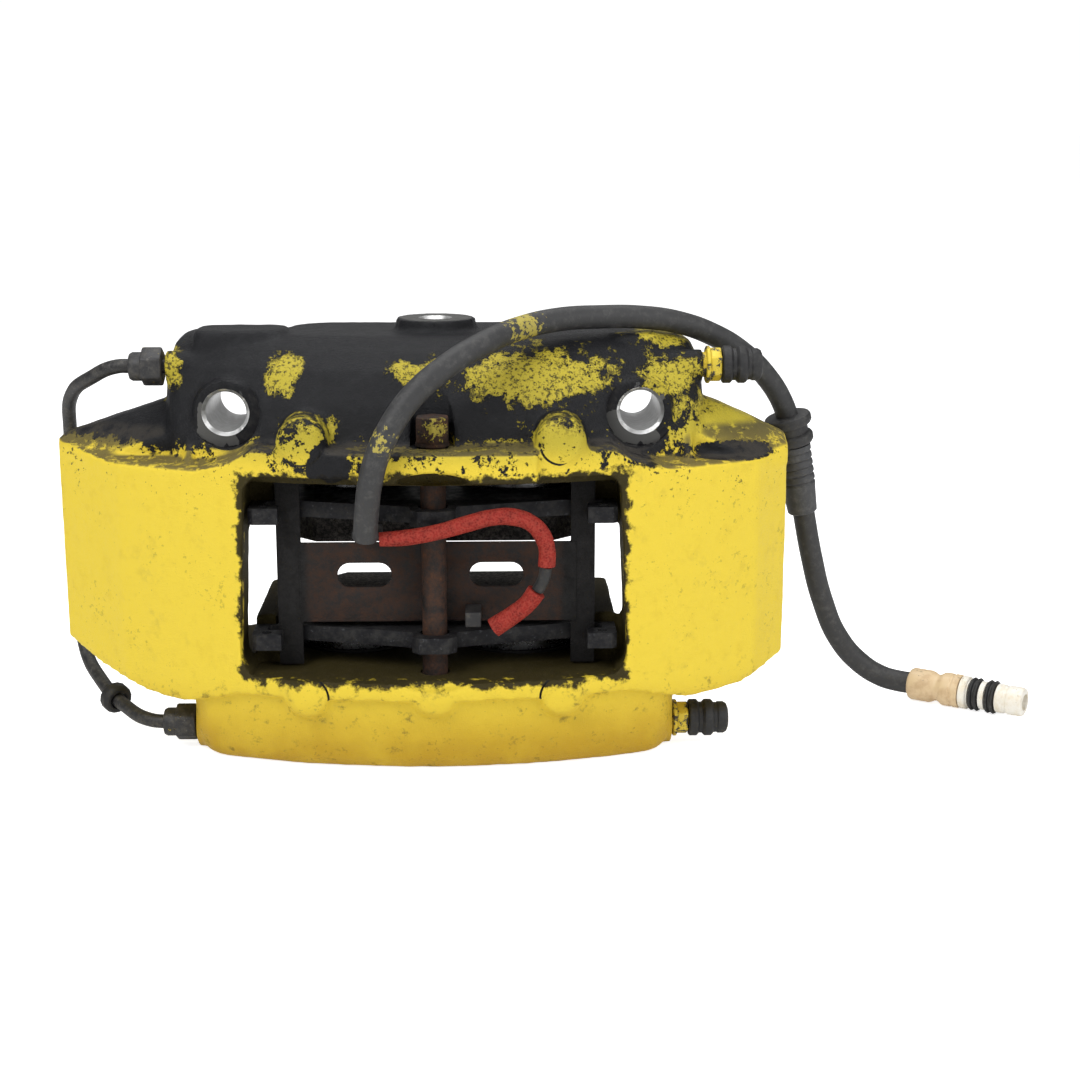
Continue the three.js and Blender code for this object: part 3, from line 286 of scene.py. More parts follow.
def yellow_cover(graph, local, z, mid, fine):
    """1 where yellow paint is left: all of it below the shelf, patches above."""
    ragged = graph.math("ADD", graph.math("MULTIPLY", mid, 0.75), graph.math("MULTIPLY", fine, 0.5))
    ragged = graph.math("SUBTRACT", ragged, 0.625)
    below = graph.math("MULTIPLY", graph.math("SUBTRACT", SHELF_TOP + 1.5, z), 0.12)
    below = graph.math("ADD", below, graph.math("MULTIPLY", ragged, 1.1))
    patches = graph.any_of([graph.within(local, centre, sizes) for centre, sizes in PATCHES])
    cover = graph.math("ADD", graph.math("MULTIPLY", patches, 1.15), graph.math("MULTIPLY", ragged, 4.8))
    cover = graph.math("MAXIMUM", cover, below)
    gaps = graph.any_of([graph.within(local, centre, sizes) for centre, sizes in GAPS])
    gaps = graph.math("MULTIPLY", graph.math("MAXIMUM", gaps, 0.0), 3.5)
    return graph.step(graph.math("SUBTRACT", cover, gaps), -0.05, 0.12)


def window_grime_and_shade(graph, x, y, z, mid):
    """1 on the window's rim, on its walls and on everything behind them, where grime and painted shade darken
    the paint.
    """
    across = graph.math("ABSOLUTE", x)
    side = graph.math("SUBTRACT", across, RIM_HALF_WIDTH)
    from_middle = graph.math("ABSOLUTE", graph.math("SUBTRACT", z, RIM_MIDDLE))
    rim = graph.math("MAXIMUM", side, graph.math("SUBTRACT", from_middle, RIM_HALF_HEIGHT))
    rim = graph.math("SUBTRACT", rim, graph.math("MULTIPLY", graph.math("SUBTRACT", mid, 0.45), 11.0))
    window = graph.step(rim, -0.2, 1.4, 1.0, 0.0)
    chord = graph.math("SUBTRACT", RIM_RADIUS ** 2, graph.math("MULTIPLY", x, x))
    deep = graph.math("SUBTRACT", graph.math("ADD", y, graph.math("SQRT", chord)), RIM_RADIUS)
    behind = graph.step(graph.math("ADD", deep, graph.math("MULTIPLY", mid, 5.0)), 5.0, 9.0)
    from_slot = graph.math("ABSOLUTE", graph.math("SUBTRACT", z, SLOT_MIDDLE))
    inside = graph.math("MULTIPLY", behind, graph.step(from_slot, 32.5, 34.5, 1.0, 0.0))
    inside = graph.math("MULTIPLY", inside, graph.step(across, 100.0, 106.0, 1.0, 0.0))
    return graph.math("MAXIMUM", window, inside)


def shelf_dirt(graph, z, mid, fine):
    """1 where dirt lies on top of the bridge."""
    normal = graph.add("NewGeometry", output=1)
    upward = graph.add("SeparateXYZ", {0: normal}, output=2)
    level = graph.math("MULTIPLY", graph.step(z, 93.0, 95.5), graph.step(z, 103.5, 106.0, 1.0, 0.0))
    shelf = graph.math("MULTIPLY", graph.step(upward, 0.45, 0.8), level)
    patchy = graph.step(graph.math("ADD", mid, graph.math("MULTIPLY", fine, 0.3)), 0.5, 0.66)
    return graph.math("MULTIPLY", shelf, patchy)


def band_stains(graph, z, mid, fine):
    """1 in the brown stains of the lower band."""
    patchy = graph.step(graph.math("ADD", mid, graph.math("MULTIPLY", fine, 0.35)), 0.74, 0.9)
    return graph.math("MULTIPLY", graph.step(z, 24.0, 34.0, 1.0, 0.0), patchy)


def yellow_coat(graph, z, broad, mid):
    """Yellow paint, deeper orange towards the foot, partly as painted shade of the downward-facing lower
    band, stained in patches and olive where it is thin on top.
    """
    # paint tone and painted shade: the yellow turns darker orange towards the bottom, where the faces turn
    # downward
    foot_tone_and_shade = graph.math("MULTIPLY", graph.step(z, 4.0, 30.0, 1.0, 0.0), graph.step(broad, 0.2, 0.6, 0.55, 1.0))
    stains = graph.math("MULTIPLY", graph.step(broad, 0.52, 0.72), graph.step(mid, 0.47, 0.66))
    coat = graph.mix(foot_tone_and_shade, YELLOW, YELLOW_DEEP_SHADED)
    coat = graph.mix(graph.math("MULTIPLY", stains, 0.42), coat, (0.56, 0.43, 0.06, 1))
    coat = graph.mix(graph.step(mid, 0.5, 0.75, 0.0, 0.3), coat, (0.66, 0.46, 0.03, 1))
    return graph.mix(graph.step(z, 96.0, 106.0, 0.0, 0.68), coat, (0.36, 0.315, 0.035, 1))


def black_coat(graph, point, mid, fine):
    """Black paint with a little dust, rubbed grey on its edges."""
    wear = use_group(graph, WEAR, {"Vector": point, "Scale": 350.0, "Amount": 0.55})
    dusty = graph.math("MULTIPLY", graph.step(mid, 0.46, 0.7), 0.4)
    under = graph.mix(dusty, BLACK_PAINT, (0.02, 0.0205, 0.023, 1))
    return graph.mix(graph.math("MULTIPLY", wear, graph.step(fine, 0.45, 0.6)), under, (0.2, 0.2, 0.2, 1))


def chips(graph, point, z, yellow, fine):
    """1 in the small chips of the yellow paint, more of them higher up."""
    specks = use_group(graph, SPECKS, {"Vector": point, "Scale": 620.0, "Amount": 0.42})
    share = graph.step(z, 80.0, 94.0, 0.3, 1.0)
    chipped = graph.math("MULTIPLY", graph.math("MULTIPLY", specks, yellow), share)
    scratched = graph.math("MULTIPLY", graph.step(z, 106.0, 112.0), graph.step(fine, 0.5, 0.6))
    return graph.math("MAXIMUM", chipped, scratched)


def body_paint(graph, point):
    """Yellow paint over black on the cast body, with the dirt and wear of years, and painted shade in the
    window and towards the foot.
    """
    local = drawing_point(graph, point)
    parts = graph.add("SeparateXYZ", {0: local})
    x, y, z = parts, parts.node.outputs[1], parts.node.outputs[2]
    broad = graph.noise(point, 55.0, 4.0)
    mid = graph.noise(point, 210.0, 6.0, 0.65)
    fine = graph.noise(point, 800.0, 5.0, 0.7)
    grain = use_group(graph, GRAIN, {"Vector": point, "Scale": 420.0})
    yellow = yellow_cover(graph, local, z, mid, fine)
    # mask of grime and painted shade in and behind the window
    dark = window_grime_and_shade(graph, x, y, z, mid)
    shelf = shelf_dirt(graph, z, mid, fine)
    low_stains = band_stains(graph, z, mid, fine)
    chipped = chips(graph, point, z, yellow, fine)

    colour = graph.mix(yellow, black_coat(graph, point, mid, fine), yellow_coat(graph, z, broad, mid))
    colour = graph.mix(graph.math("MULTIPLY", chipped, 0.85), colour, BLACK_PAINT)
    colour = graph.mix(graph.math("MULTIPLY", low_stains, 0.6), colour, (0.12, 0.085, 0.03, 1))
    colour = graph.mix(graph.math("MULTIPLY", shelf, 0.85), colour, (0.045, 0.04, 0.034, 1))
    # near-black grime and painted shade over the window's rim and everything deep inside it
    grime_and_shade = graph.mix(graph.step(fine, 0.5, 0.7), GRIME_AND_SHADE, (0.026, 0.022, 0.018, 1))
    colour = graph.mix(graph.math("MULTIPLY", dark, 0.96), colour, grime_and_shade)

    matt = graph.math("MAXIMUM", dark, graph.math("MAXIMUM", shelf, low_stains))
    rough = graph.step(yellow, 0.0, 1.0, 0.36, 0.42)
    rough = graph.math("ADD", rough, graph.math("MULTIPLY", matt, 0.3))
    mottled = graph.math("MULTIPLY", graph.math("SUBTRACT", fine, 0.5), 0.3)
    rough = graph.math("ADD", rough, mottled, clamp=True)
    relief = graph.math("ADD", graph.math("MULTIPLY", grain, 1.0), graph.math("MULTIPLY", yellow, 0.35))
    return {"Base Color": colour, "Roughness": rough}, relief, 0.00055


def machined(graph, point):
    """Bright bare aluminium of a bored hole."""
    rings = graph.noise(point, 500.0, 3.0)
    colour = graph.mix(graph.step(rings, 0.35, 0.7), BARE, BARE_LIGHT)
    rough = graph.step(rings, 0.3, 0.7, 0.34, 0.46)
    return {"Base Color": colour, "Metallic": 1.0, "Roughness": rough}, rings, 0.00003


def dark_machined(graph, point):
    """Machined seat that has gone dark, rubbed lighter on its edge."""
    dirt = graph.noise(point, 330.0, 6.0, 0.7)
    rub = use_group(graph, WEAR, {"Vector": point, "Scale": 500.0, "Amount": 0.9})
    colour = graph.mix(graph.step(dirt, 0.4, 0.68), (0.012, 0.012, 0.014, 1), (0.035, 0.034, 0.033, 1))
    colour = graph.mix(rub, colour, (0.1, 0.099, 0.095, 1))
    rough = graph.step(dirt, 0.3, 0.7, 0.32, 0.55)
    return {"Base Color": colour, "Metallic": 0.3, "Roughness": rough}, dirt, 0.0001


def grimy_black(graph, point):
    """Packed dirt in the grooves of the casting."""
    dirt = graph.noise(point, 260.0, 6.0, 0.7)
    colour = graph.mix(graph.step(dirt, 0.42, 0.7), (0.012, 0.012, 0.012, 1), (0.05, 0.046, 0.04, 1))
    return {"Base Color": colour, "Roughness": graph.step(dirt, 0.3, 0.7, 0.5, 0.8)}, dirt, 0.0002


def plate_paint(graph, point):
    """Black paint of a backing plate, dusty and rubbed through in spots."""
    dirt = graph.noise(point, 300.0, 6.0, 0.7)
    rub = graph.step(graph.noise(point, 640.0, 5.0, 0.7), 0.58, 0.7)
    colour = graph.mix(graph.step(dirt, 0.4, 0.72), (0.012, 0.012, 0.014, 1), (0.04, 0.039, 0.038, 1))
    colour = graph.mix(graph.math("MULTIPLY", rub, 0.45), colour, (0.12, 0.125, 0.135, 1))
    rough = graph.step(dirt, 0.35, 0.7, 0.38, 0.7)
    return {"Base Color": colour, "Roughness": rough, "Metallic": 0.25}, dirt, 0.00025


def lining_grit(graph, point):
    """Friction material, with its coarse dark and pale grains."""
    grit = graph.noise(point, 900.0, 6.0, 0.8)
    colour = graph.mix(graph.step(grit, 0.4, 0.65), (0.02, 0.019, 0.018, 1), (0.11, 0.1, 0.09, 1))
    return {"Base Color": colour, "Roughness": 0.9}, grit, 0.0004


def rusted(amount, overspray=None, legs_from=None):
    """Rusted steel, with paint sprayed over one place, or black beyond a distance from the middle."""
    def paint(graph, point):
        colour = use_group(graph, RUST, {"Vector": point, "Amount": amount})
        rough, height = colour.node.outputs[1], colour.node.outputs[2]
        if legs_from:
            offset = graph.vector("SUBTRACT", point, tuple(DATUM))
            across = graph.math("ABSOLUTE", graph.add("SeparateXYZ", {0: offset}))
            black = graph.step(graph.math("ADD", across, graph.math("MULTIPLY", height, 3 * MM)),
                               legs_from * MM, (legs_from + 3) * MM)
            colour = graph.mix(black, colour, (0.008, 0.0075, 0.0075, 1))
            colour = graph.mix(0.35, colour, (0.01, 0.009, 0.009, 1))
        if overspray:
            centre, sizes = overspray
            spray = graph.within(point, tuple(place(*centre)), tuple(Vector(sizes) * MM))
            speckle = graph.noise(point, 700.0, 5.0, 0.7)
            ragged = graph.math("MULTIPLY", graph.math("SUBTRACT", speckle, 0.5), 5.0)
            mask = graph.step(graph.math("ADD", spray, ragged), 0.25, 0.45)
            colour = graph.mix(mask, colour, (0.42, 0.34, 0.05, 1))
        return {"Base Color": colour, "Roughness": rough, "Metallic": 0.35}, height, 0.0003
    return paint


def anodised(graph, point):
    """Silver anodised skin of a piston."""
    rings = graph.noise(point, 420.0, 4.0)
    colour = graph.mix(graph.step(rings, 0.4, 0.7), (0.55, 0.56, 0.58, 1), (0.36, 0.36, 0.37, 1))
    rough = graph.step(rings, 0.3, 0.7, 0.2, 0.38)
    return {"Base Color": colour, "Metallic": 0.95, "Roughness": rough}, rings, 0.00006


def rubber(dark, light, spots=()):
    """Matt moulded rubber with dust, and overspray at the spots."""
    def paint(graph, point):
        dust = graph.noise(point, 380.0, 6.0, 0.7)
        colour = graph.mix(graph.step(dust, 0.45, 0.75), dark, light)
        for centre, sizes in spots:
            spray = graph.within(point, tuple(place(*centre)), tuple(Vector(sizes) * MM))
            speckle = graph.noise(point, 500.0, 5.0, 0.7)
            ragged = graph.math("MULTIPLY", graph.math("SUBTRACT", speckle, 0.5), 4.5)
            mask = graph.step(graph.math("ADD", spray, ragged), 0.3, 0.5)
            colour = graph.mix(mask, colour, (0.4, 0.33, 0.06, 1))
        return {"Base Color": colour, "Roughness": graph.step(dust, 0.3, 0.8, 0.5, 0.75)}, dust, 0.00015
    return paint


def aged_plastic(light, stained):
    """Moulded plastic that has yellowed in patches, with a few dark dots."""
    def paint(graph, point):
        stain = graph.noise(point, 190.0, 5.0, 0.65)
        dots = use_group(graph, SPECKS, {"Vector": point, "Scale": 900.0, "Amount": 0.3})
        colour = graph.mix(graph.step(stain, 0.42, 0.72), light, stained)
        colour = graph.mix(graph.math("MULTIPLY", dots, 0.6), colour, (0.2, 0.15, 0.1, 1))
        return {"Base Color": colour, "Roughness": graph.step(stain, 0.3, 0.7, 0.35, 0.55)}, stain, 0.00008
    return paint


def woven_sleeve(graph, point):
    """Coated glass-fibre sleeve: fine crossed braid, scuffed dark on its high spots."""
    strands = graph.add("TexVoronoi", {"Vector": point, "Scale": 1500.0})
    scuff = graph.noise(point, 420.0, 6.0, 0.7)
    colour = graph.mix(graph.step(scuff, 0.4, 0.7), (0.3, 0.022, 0.015, 1), (0.15, 0.013, 0.011, 1))
    colour = graph.mix(graph.step(strands, 0.35, 0.6, 0.0, 0.4), colour, (0.42, 0.07, 0.045, 1))
    return {"Base Color": colour, "Roughness": graph.step(scuff, 0.3, 0.7, 0.5, 0.8)}, strands, 0.00025


def dull_steel(paint_share, dark=(0.05, 0.048, 0.045, 1)):
    """Dull plated steel with remains of yellow paint."""
    def paint(graph, point):
        dirt = graph.noise(point, 420.0, 6.0, 0.7)
        rub = graph.step(graph.noise(point, 900.0, 4.0, 0.7), 0.56, 0.72)
        flakes = graph.step(graph.noise(point, 260.0, 6.0, 0.75), 1 - paint_share, 1.04 - paint_share)
        colour = graph.mix(graph.step(dirt, 0.4, 0.75), dark, (0.085, 0.08, 0.072, 1))
        colour = graph.mix(graph.math("MULTIPLY", rub, 0.35), colour, (0.2, 0.19, 0.17, 1))
        colour = graph.mix(flakes, colour, (0.72, 0.55, 0.05, 1))
        rough = graph.step(dirt, 0.3, 0.7, 0.4, 0.65)
        return {"Base Color": colour, "Metallic": 0.25, "Roughness": rough}, dirt, 0.00015
    return paint


# this paint also holds painted shade in the window and at the foot of the body
PAINT = material("worn_and_shaded_caliper_paint", body_paint, Specular_IOR_Level=0.2)
MACHINED = material("machined_aluminium", machined)
SEAT = material("dark_machined_seat", dark_machined, Specular_IOR_Level=0.2)
DIRT = material("dirt_in_grooves", grimy_black, Specular_IOR_Level=0.2)
PISTON_SKIN = material("anodised_piston", anodised)
SEAL_RUBBER = material("seal_rubber", rubber((0.012, 0.012, 0.012, 1), (0.05, 0.048, 0.045, 1)))
PLATE = material("backing_plate_paint", plate_paint, Specular_IOR_Level=0.2)
LINING = material("friction_lining", lining_grit, Specular_IOR_Level=0.2)
PIN_RUST = material("pin_rust", rusted(0.9, ((1.5, 9, 108.5), (4, 5, 3.6))))
SPRING_RUST = material("spring_rust", rusted(0.3, legs_from=40))
PIPE_COAT = material("pipe_coating", dull_steel(0.30, (0.02, 0.02, 0.021, 1)))
NUT_STEEL = material("nut_steel", dull_steel(0.36, (0.028, 0.028, 0.03, 1)))
BLEED_STEEL = material("bleed_screw_steel", dull_steel(0.56, (0.04, 0.036, 0.03, 1)))
CLIP_PLASTIC = material("clip_plastic", rubber((0.01, 0.01, 0.01, 1), (0.035, 0.033, 0.03, 1)))
CAP_RUBBER = material("cap_rubber", rubber((0.011, 0.011, 0.012, 1), (0.045, 0.044, 0.042, 1)))
CABLE_RUBBER = material("cable_rubber", rubber((0.028, 0.028, 0.029, 1), (0.07, 0.069, 0.067, 1), [
    ((27, 27, 137), (8, 8, 8)), ((-14, -4, 107), (4, 6, 5)),
]))
GROMMET_RUBBER = material("grommet_rubber", rubber((0.02, 0.02, 0.021, 1), (0.06, 0.058, 0.054, 1)))
BOOT_RUBBER = material("boot_rubber", rubber((0.045, 0.046, 0.05, 1), (0.1, 0.1, 0.1, 1)))
BEIGE = material("connector_beige", aged_plastic((0.66, 0.5, 0.3, 1), (0.52, 0.36, 0.2, 1)))
WHITE = material("connector_white", aged_plastic((0.82, 0.79, 0.72, 1), (0.7, 0.62, 0.47, 1)))
SLEEVE_RED = material("red_sleeve", woven_sleeve, Specular_IOR_Level=0.2)
TAPE = material("dark_tape", rubber((0.014, 0.014, 0.014, 1), (0.06, 0.055, 0.05, 1)))
HEAD_PLASTIC = material("sensor_plastic", rubber((0.014, 0.014, 0.015, 1), (0.06, 0.055, 0.05, 1)))


# ---- pieces --------------------------------------------------------------------------------
def finish_piece(name, shape, skin, body, replaced=(), crease=35, own_skins=()):
    """Makes a piece of a bmesh whose place is in its vertices, and lets it ride on its body."""
    for face in shape.faces:
        face.smooth = True
    for edge in shape.edges:
        edge.smooth = len(edge.link_faces) == 2 and edge.calc_face_angle(0) < math.radians(crease)
    mesh = bpy.data.meshes.new(name)
    shape.to_mesh(mesh)
    shape.free()
    for one in (skin, *own_skins):
        mesh.materials.append(one)
    piece = bpy.data.objects.new(name, mesh)
    bpy.context.scene.collection.objects.link(piece)
    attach(piece, body)
    if replaced:
        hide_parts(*replaced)
    return piece


def cad_copy(node):
    """A merged copy of a CAD node's mesh."""
    shape = bmesh.new()
    shape.from_mesh(frame["nodes"][node].data)
    bmesh.ops.remove_doubles(shape, verts=shape.verts, dist=WELD)
    return shape


def softened(node, width, skin, body, segments=3, least=25):
    """The CAD piece with its edges rounded by width, in millimetres."""
    shape = cad_copy(node)
    bmesh.ops.dissolve_limit(shape, angle_limit=math.radians(1), verts=shape.verts, edges=shape.edges,
                             use_dissolve_boundaries=False)
    sharp = [edge for edge in shape.edges
             if len(edge.link_faces) == 2 and edge.calc_face_angle(0) > math.radians(least)]
    bmesh.ops.bevel(shape, geom=sharp, offset=width * MM, offset_type="OFFSET", affect="EDGES",
                    segments=segments, profile=0.5, material=-1, clamp_overlap=True)
    return finish_piece(f"{node}_finish", shape, skin, body, [node])


def spun(profile, axis=(0, 0, 1), centre=(0, 0, 0), steps=64, into=None, skin=0):
    """A closed solid of revolution from [radius, distance along the axis] pairs in millimetres."""
    shape = bmesh.new()
    verts = [shape.verts.new((radius * MM, 0, along * MM)) for radius, along in profile]
    links = list(zip(verts, verts[1:]))
    if profile[0][0] > 0:
        links.append((verts[-1], verts[0]))
    edges = [shape.edges.new(pair) for pair in links]
    bmesh.ops.spin(shape, geom=verts + edges, cent=(0, 0, 0), axis=(0, 0, 1), angle=2 * math.pi,
                   steps=steps, use_merge=True)
    bmesh.ops.remove_doubles(shape, verts=shape.verts, dist=WELD / 4)
    bmesh.ops.recalc_face_normals(shape, faces=shape.faces)
    for face in shape.faces:
        face.material_index = skin
    turn = Vector(axis).to_track_quat("Z", "Y").to_matrix().to_4x4()
    bmesh.ops.transform(shape, matrix=Matrix.Translation(place(*centre)) @ turn, verts=shape.verts)
    return add_to(into, shape)


def add_to(whole, shape):
    """Adds a bmesh to another one, or starts with it."""
    if whole is None:
        return shape
    mesh = bpy.data.meshes.new("part")
    shape.to_mesh(mesh)
    shape.free()
    whole.from_mesh(mesh)
    bpy.data.meshes.remove(mesh)
    return whole


def hexagon_bar(across, length, axis, centre, chamfer=0.6, into=None):
    """A hexagonal bar with rounded edges that starts at centre and runs along the axis."""
    shape = bmesh.new()
    bmesh.ops.create_cone(shape, cap_ends=True, segments=6, radius1=across / math.sqrt(3) * MM,
                          radius2=across / math.sqrt(3) * MM, depth=length * MM)
    bmesh.ops.translate(shape, vec=(0, 0, length / 2 * MM), verts=shape.verts)
    bmesh.ops.bevel(shape, geom=list(shape.edges), offset=chamfer * MM, offset_type="OFFSET",
                    affect="EDGES", segments=2, profile=0.5, material=-1, clamp_overlap=True)
    turn = Vector(axis).to_track_quat("Z", "Y").to_matrix().to_4x4()
    bmesh.ops.transform(shape, matrix=Matrix.Translation(place(*centre)) @ turn, verts=shape.verts)
    return add_to(into, shape)


def through_points(name, points, radius, skin, body, replaced=(), radii=None, steps=12, sides=6):
    """A round cord or pipe on one smooth curve through points of the drawing."""
    curve = bpy.data.curves.new(name, "CURVE")
    curve.dimensions = "3D"
    curve.bevel_depth = radius * MM
    curve.bevel_resolution = sides
    curve.resolution_u = steps
    curve.use_fill_caps = True
    spline = curve.splines.new("BEZIER")
    spline.bezier_points.add(len(points) - 1)
    for index, (knot, where) in enumerate(zip(spline.bezier_points, points)):
        knot.co = place(*where)
        knot.handle_left_type = knot.handle_right_type = "AUTO"
        knot.radius = radii[index] if radii else 1.0
    curve.materials.append(skin)
    piece = bpy.data.objects.new(name, curve)
    bpy.context.scene.collection.objects.link(piece)
    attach(piece, body)
    if replaced:
        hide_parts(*replaced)
    return piece


# ---- sensor cable --------------------------------------------------------------------------
CABLE_RADIUS = 3.75
CABLE_ROUTE = [
    (-20.2, 1, 76.6), (-19.4, -1.5, 86), (-18, -4.4, 95), (-15.6, -4.6, 103.5), (-11.2, -3, 112.3),
    (-4.5, 0, 121), (4.8, 4.4, 128.4), (15, 13.2, 133.6), (27.2, 28, 137), (40, 38, 138.6),
    (52.6, 44.5, 138.6), (66, 49, 138), (79.3, 54, 135.6), (91, 58.5, 131), (100.2, 62.5, 125.3),
    (109.5, 66.4, 116.5), (116.3, 69.3, 106), (118.9, 70.4, 97.6), (121, 71.3, 88), (123, 72.2, 78),
    (125, 73.1, 68), (128.6, 75.4, 52), (133.4, 78.4, 35.8), (140.2, 81.2, 21), (148.6, 82, 11.4),
    (156, 80.6, 7), (161, 78, 6.1),
]
CONNECTOR_START = Vector((165.2, 75.2, 6.1))
CONNECTOR_AXIS = Vector((34.3, -23.1, 0)).normalized()
GAP = 0.3

cable = through_points("sensor_cable_jacket", [*CABLE_ROUTE, tuple(CONNECTOR_START - GAP * CONNECTOR_AXIS)],
                       CABLE_RADIUS, CABLE_RUBBER, "caliper", ["sensor_cable"], steps=10)


def on_cable(index, profile):
    """A ring spun about the cable's direction at one of its route's points."""
    ahead, behind = Vector(CABLE_ROUTE[index + 1]), Vector(CABLE_ROUTE[index - 1])
    return spun(profile, axis=(ahead - behind).normalized(), centre=CABLE_ROUTE[index], steps=48)


def closed_ring(outline, bore):
    """Profile of a ring with a bore, from its outer outline."""
    return [(bore, outline[0][1]), *outline, (bore, outline[-1][1])]


GROMMET_INDEX = 17
grommet_outline = [
    (6.6, -5.2), (7.5, -4.9), (7.9, -4.2), (7.9, -2.6), (7.4, -1.8), (6.1, -1.4), (6.0, 1.2), (6.9, 1.7),
    (7.3, 2.4), (7.2, 4.2), (6.6, 5.0), (5.8, 5.2),
]
grommet_ring = on_cable(GROMMET_INDEX, closed_ring(grommet_outline, CABLE_RADIUS))
grommet = finish_piece("cable_grommet_finish", grommet_ring, GROMMET_RUBBER, "caliper",
                       ["cable_grommet"])


def boot_shape():
    """Tapered sleeve below the grommet, with shallow ribs where it flexes."""
    corner_low, corner_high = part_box("cable_boot")
    centre = (corner_low + corner_high) / 2
    along = (Vector(CABLE_ROUTE[20]) - Vector(CABLE_ROUTE[18])).normalized()
    outline = [(6.2, -12)]
    for rib in range(5):
        start = -9.5 + rib * 2.6
        thinner = rib * 0.05
        outline += [(6.2 - thinner, start - 0.7), (5.6 - thinner, start), (6.1 - thinner, start + 0.8)]
    outline += [(5.6, 4), (5.2, 9), (5.0, 11.6), (4.6, 12)]
    local = (centre - DATUM) / MM
    return spun(closed_ring(outline, CABLE_RADIUS), axis=along, centre=tuple(local), steps=48)


boot = finish_piece("cable_boot_finish", boot_shape(), BOOT_RUBBER, "caliper", ["cable_boot"])


def on_connector(profile):
    return spun(profile, axis=CONNECTOR_AXIS, centre=tuple(CONNECTOR_START), steps=56)


SLEEVE_END = 18.5
sleeve_profile = [
    (0, 0), (4.6, 0), (5.2, 0.4), (5.6, 1.2), (5.6, 7.4), (5.3, 8.4), (4.7, 9.4), (4.6, 10.4), (4.9, 11.2),
    (5.6, 12.2), (5.8, 12.8), (5.8, 15.2), (5.55, 15.5), (5.55, 16.1), (5.8, 16.4), (5.8, 18.1),
    (5.5, SLEEVE_END), (0, SLEEVE_END),
]
sleeve = finish_piece("connector_sleeve_finish", on_connector(sleeve_profile), BEIGE, "caliper",
                      ["connector_sleeve"])
nose_profile = [
    (0, 18.8), (5.4, 18.8), (5.7, 19.1), (5.7, 21.1), (5.4, 21.4), (4.9, 21.6), (4.9, 21.9), (3.6, 22.1),
    (3.6, 25.7), (4.9, 25.9), (4.9, 27.7), (3.6, 27.9), (3.6, 31.5), (4.9, 31.7), (5.0, 32.3), (5.0, 34.2),
    (4.7, 34.6), (4.7, 35.4), (5.0, 35.8), (5.0, 39.9), (4.7, 40.7), (4.1, 41), (2.9, 41), (2.7, 37), (0, 37),
]
nose = finish_piece("connector_nose_finish", on_connector(nose_profile), WHITE, "caliper",
                    ["connector_nose"])


def ribbed_ring(start):
    """Sealing ring with two lips."""
    outline = [
        (4.7, start), (5.5, start + 0.15), (5.75, start + 0.55), (5.5, start + 1.0),
        (4.9, start + 1.25), (4.9, start + 1.75), (5.5, start + 2.0), (5.75, start + 2.45),
        (5.5, start + 2.85), (4.7, start + 3.0),
    ]
    return on_connector(closed_ring(outline, 3.8))


rings = [finish_piece(f"connector_oring_{i + 1}_finish", ribbed_ring(start), SEAL_RUBBER, "caliper",
                      [f"connector_oring_{i + 1}"]) for i, start in enumerate((22.4, 28.2))]


# ---- caliper body --------------------------------------------------------------------------
VOXEL = 1.05 * MM
SMOOTH_STEPS = 4
DECIMATE_TO = 165_000  # triangles
WALL_CLEARANCE = 0.3  # how far the slot's walls stay back from the plates


def baked(piece):
    """Applies a piece's modifiers to its mesh."""
    graph = bpy.context.evaluated_depsgraph_get()
    mesh = bpy.data.meshes.new_from_object(piece.evaluated_get(graph))
    piece.modifiers.clear()
    old = piece.data
    piece.data = mesh
    bpy.data.meshes.remove(old)


def plug(shape, axis, centre, radius, start, end):
    """Fills a hole of the casting, to be cut again with crisp edges."""
    spun([(0, start), (radius, start), (radius, end), (0, end)], axis, centre, 24, shape)


def cast_blank():
    """The casting before it is machined: its holes are filled and bosses stand a little proud."""
    shape = cad_copy("caliper_body")
    for side in (-1, 1):
        plug(shape, (0, 1, 0), (side * BOLT_X, 0, BOLT_Z), BOLT_BORE / 2 + 0.6,
             BOSS_FRONT + 0.2, EAR_BACK - 0.2)
    plug(shape, (0, 0, 1), (0, PORT_Y, 0), PORT_BORE / 2 + 0.6, PORT_TOP - PORT_DEPTH - 1, PORT_TOP - 0.1)
    for y, z, left, right in FITTINGS.values():
        plug(shape, (1, 0, 0), (0, y, z), 5, right - 15, right - 0.4)
        plug(shape, (-1, 0, 0), (0, y, z), 5, left - 15, left - 0.4)
    plug(shape, (0, 0, 1), (0, PIN_Y, 0), 4.9, 20.5, FACE_OUT - 5.6)
    return shape


SEAT_SKIN, PAINT_SKIN, DIRT_SKIN = 0, 1, 2  # of the faces that facing() leaves
HUMPS = [(-39.2, RAIL_TOP + 2.5, 3.2), (39.2, RAIL_TOP + 2.5, 3.2), (-39.2, BAND_BOTTOM + 0.5, 3.4),
         (39.2, BAND_BOTTOM + 0.5, 3.4)]
HUMP_RING, RING_WIDTH = 6.1, 0.7
SEAT_CUT = 0.3  # how deep the ears' backs are faced
PLATE_ROOM = Matrix.Diagonal((1.007, 1.007, 1.1, 1.0))  # how much the plate's pocket outgrows it
PLATE_PUSHED_BACK = 7.1  # with its pistons level with the cylinders' mouths


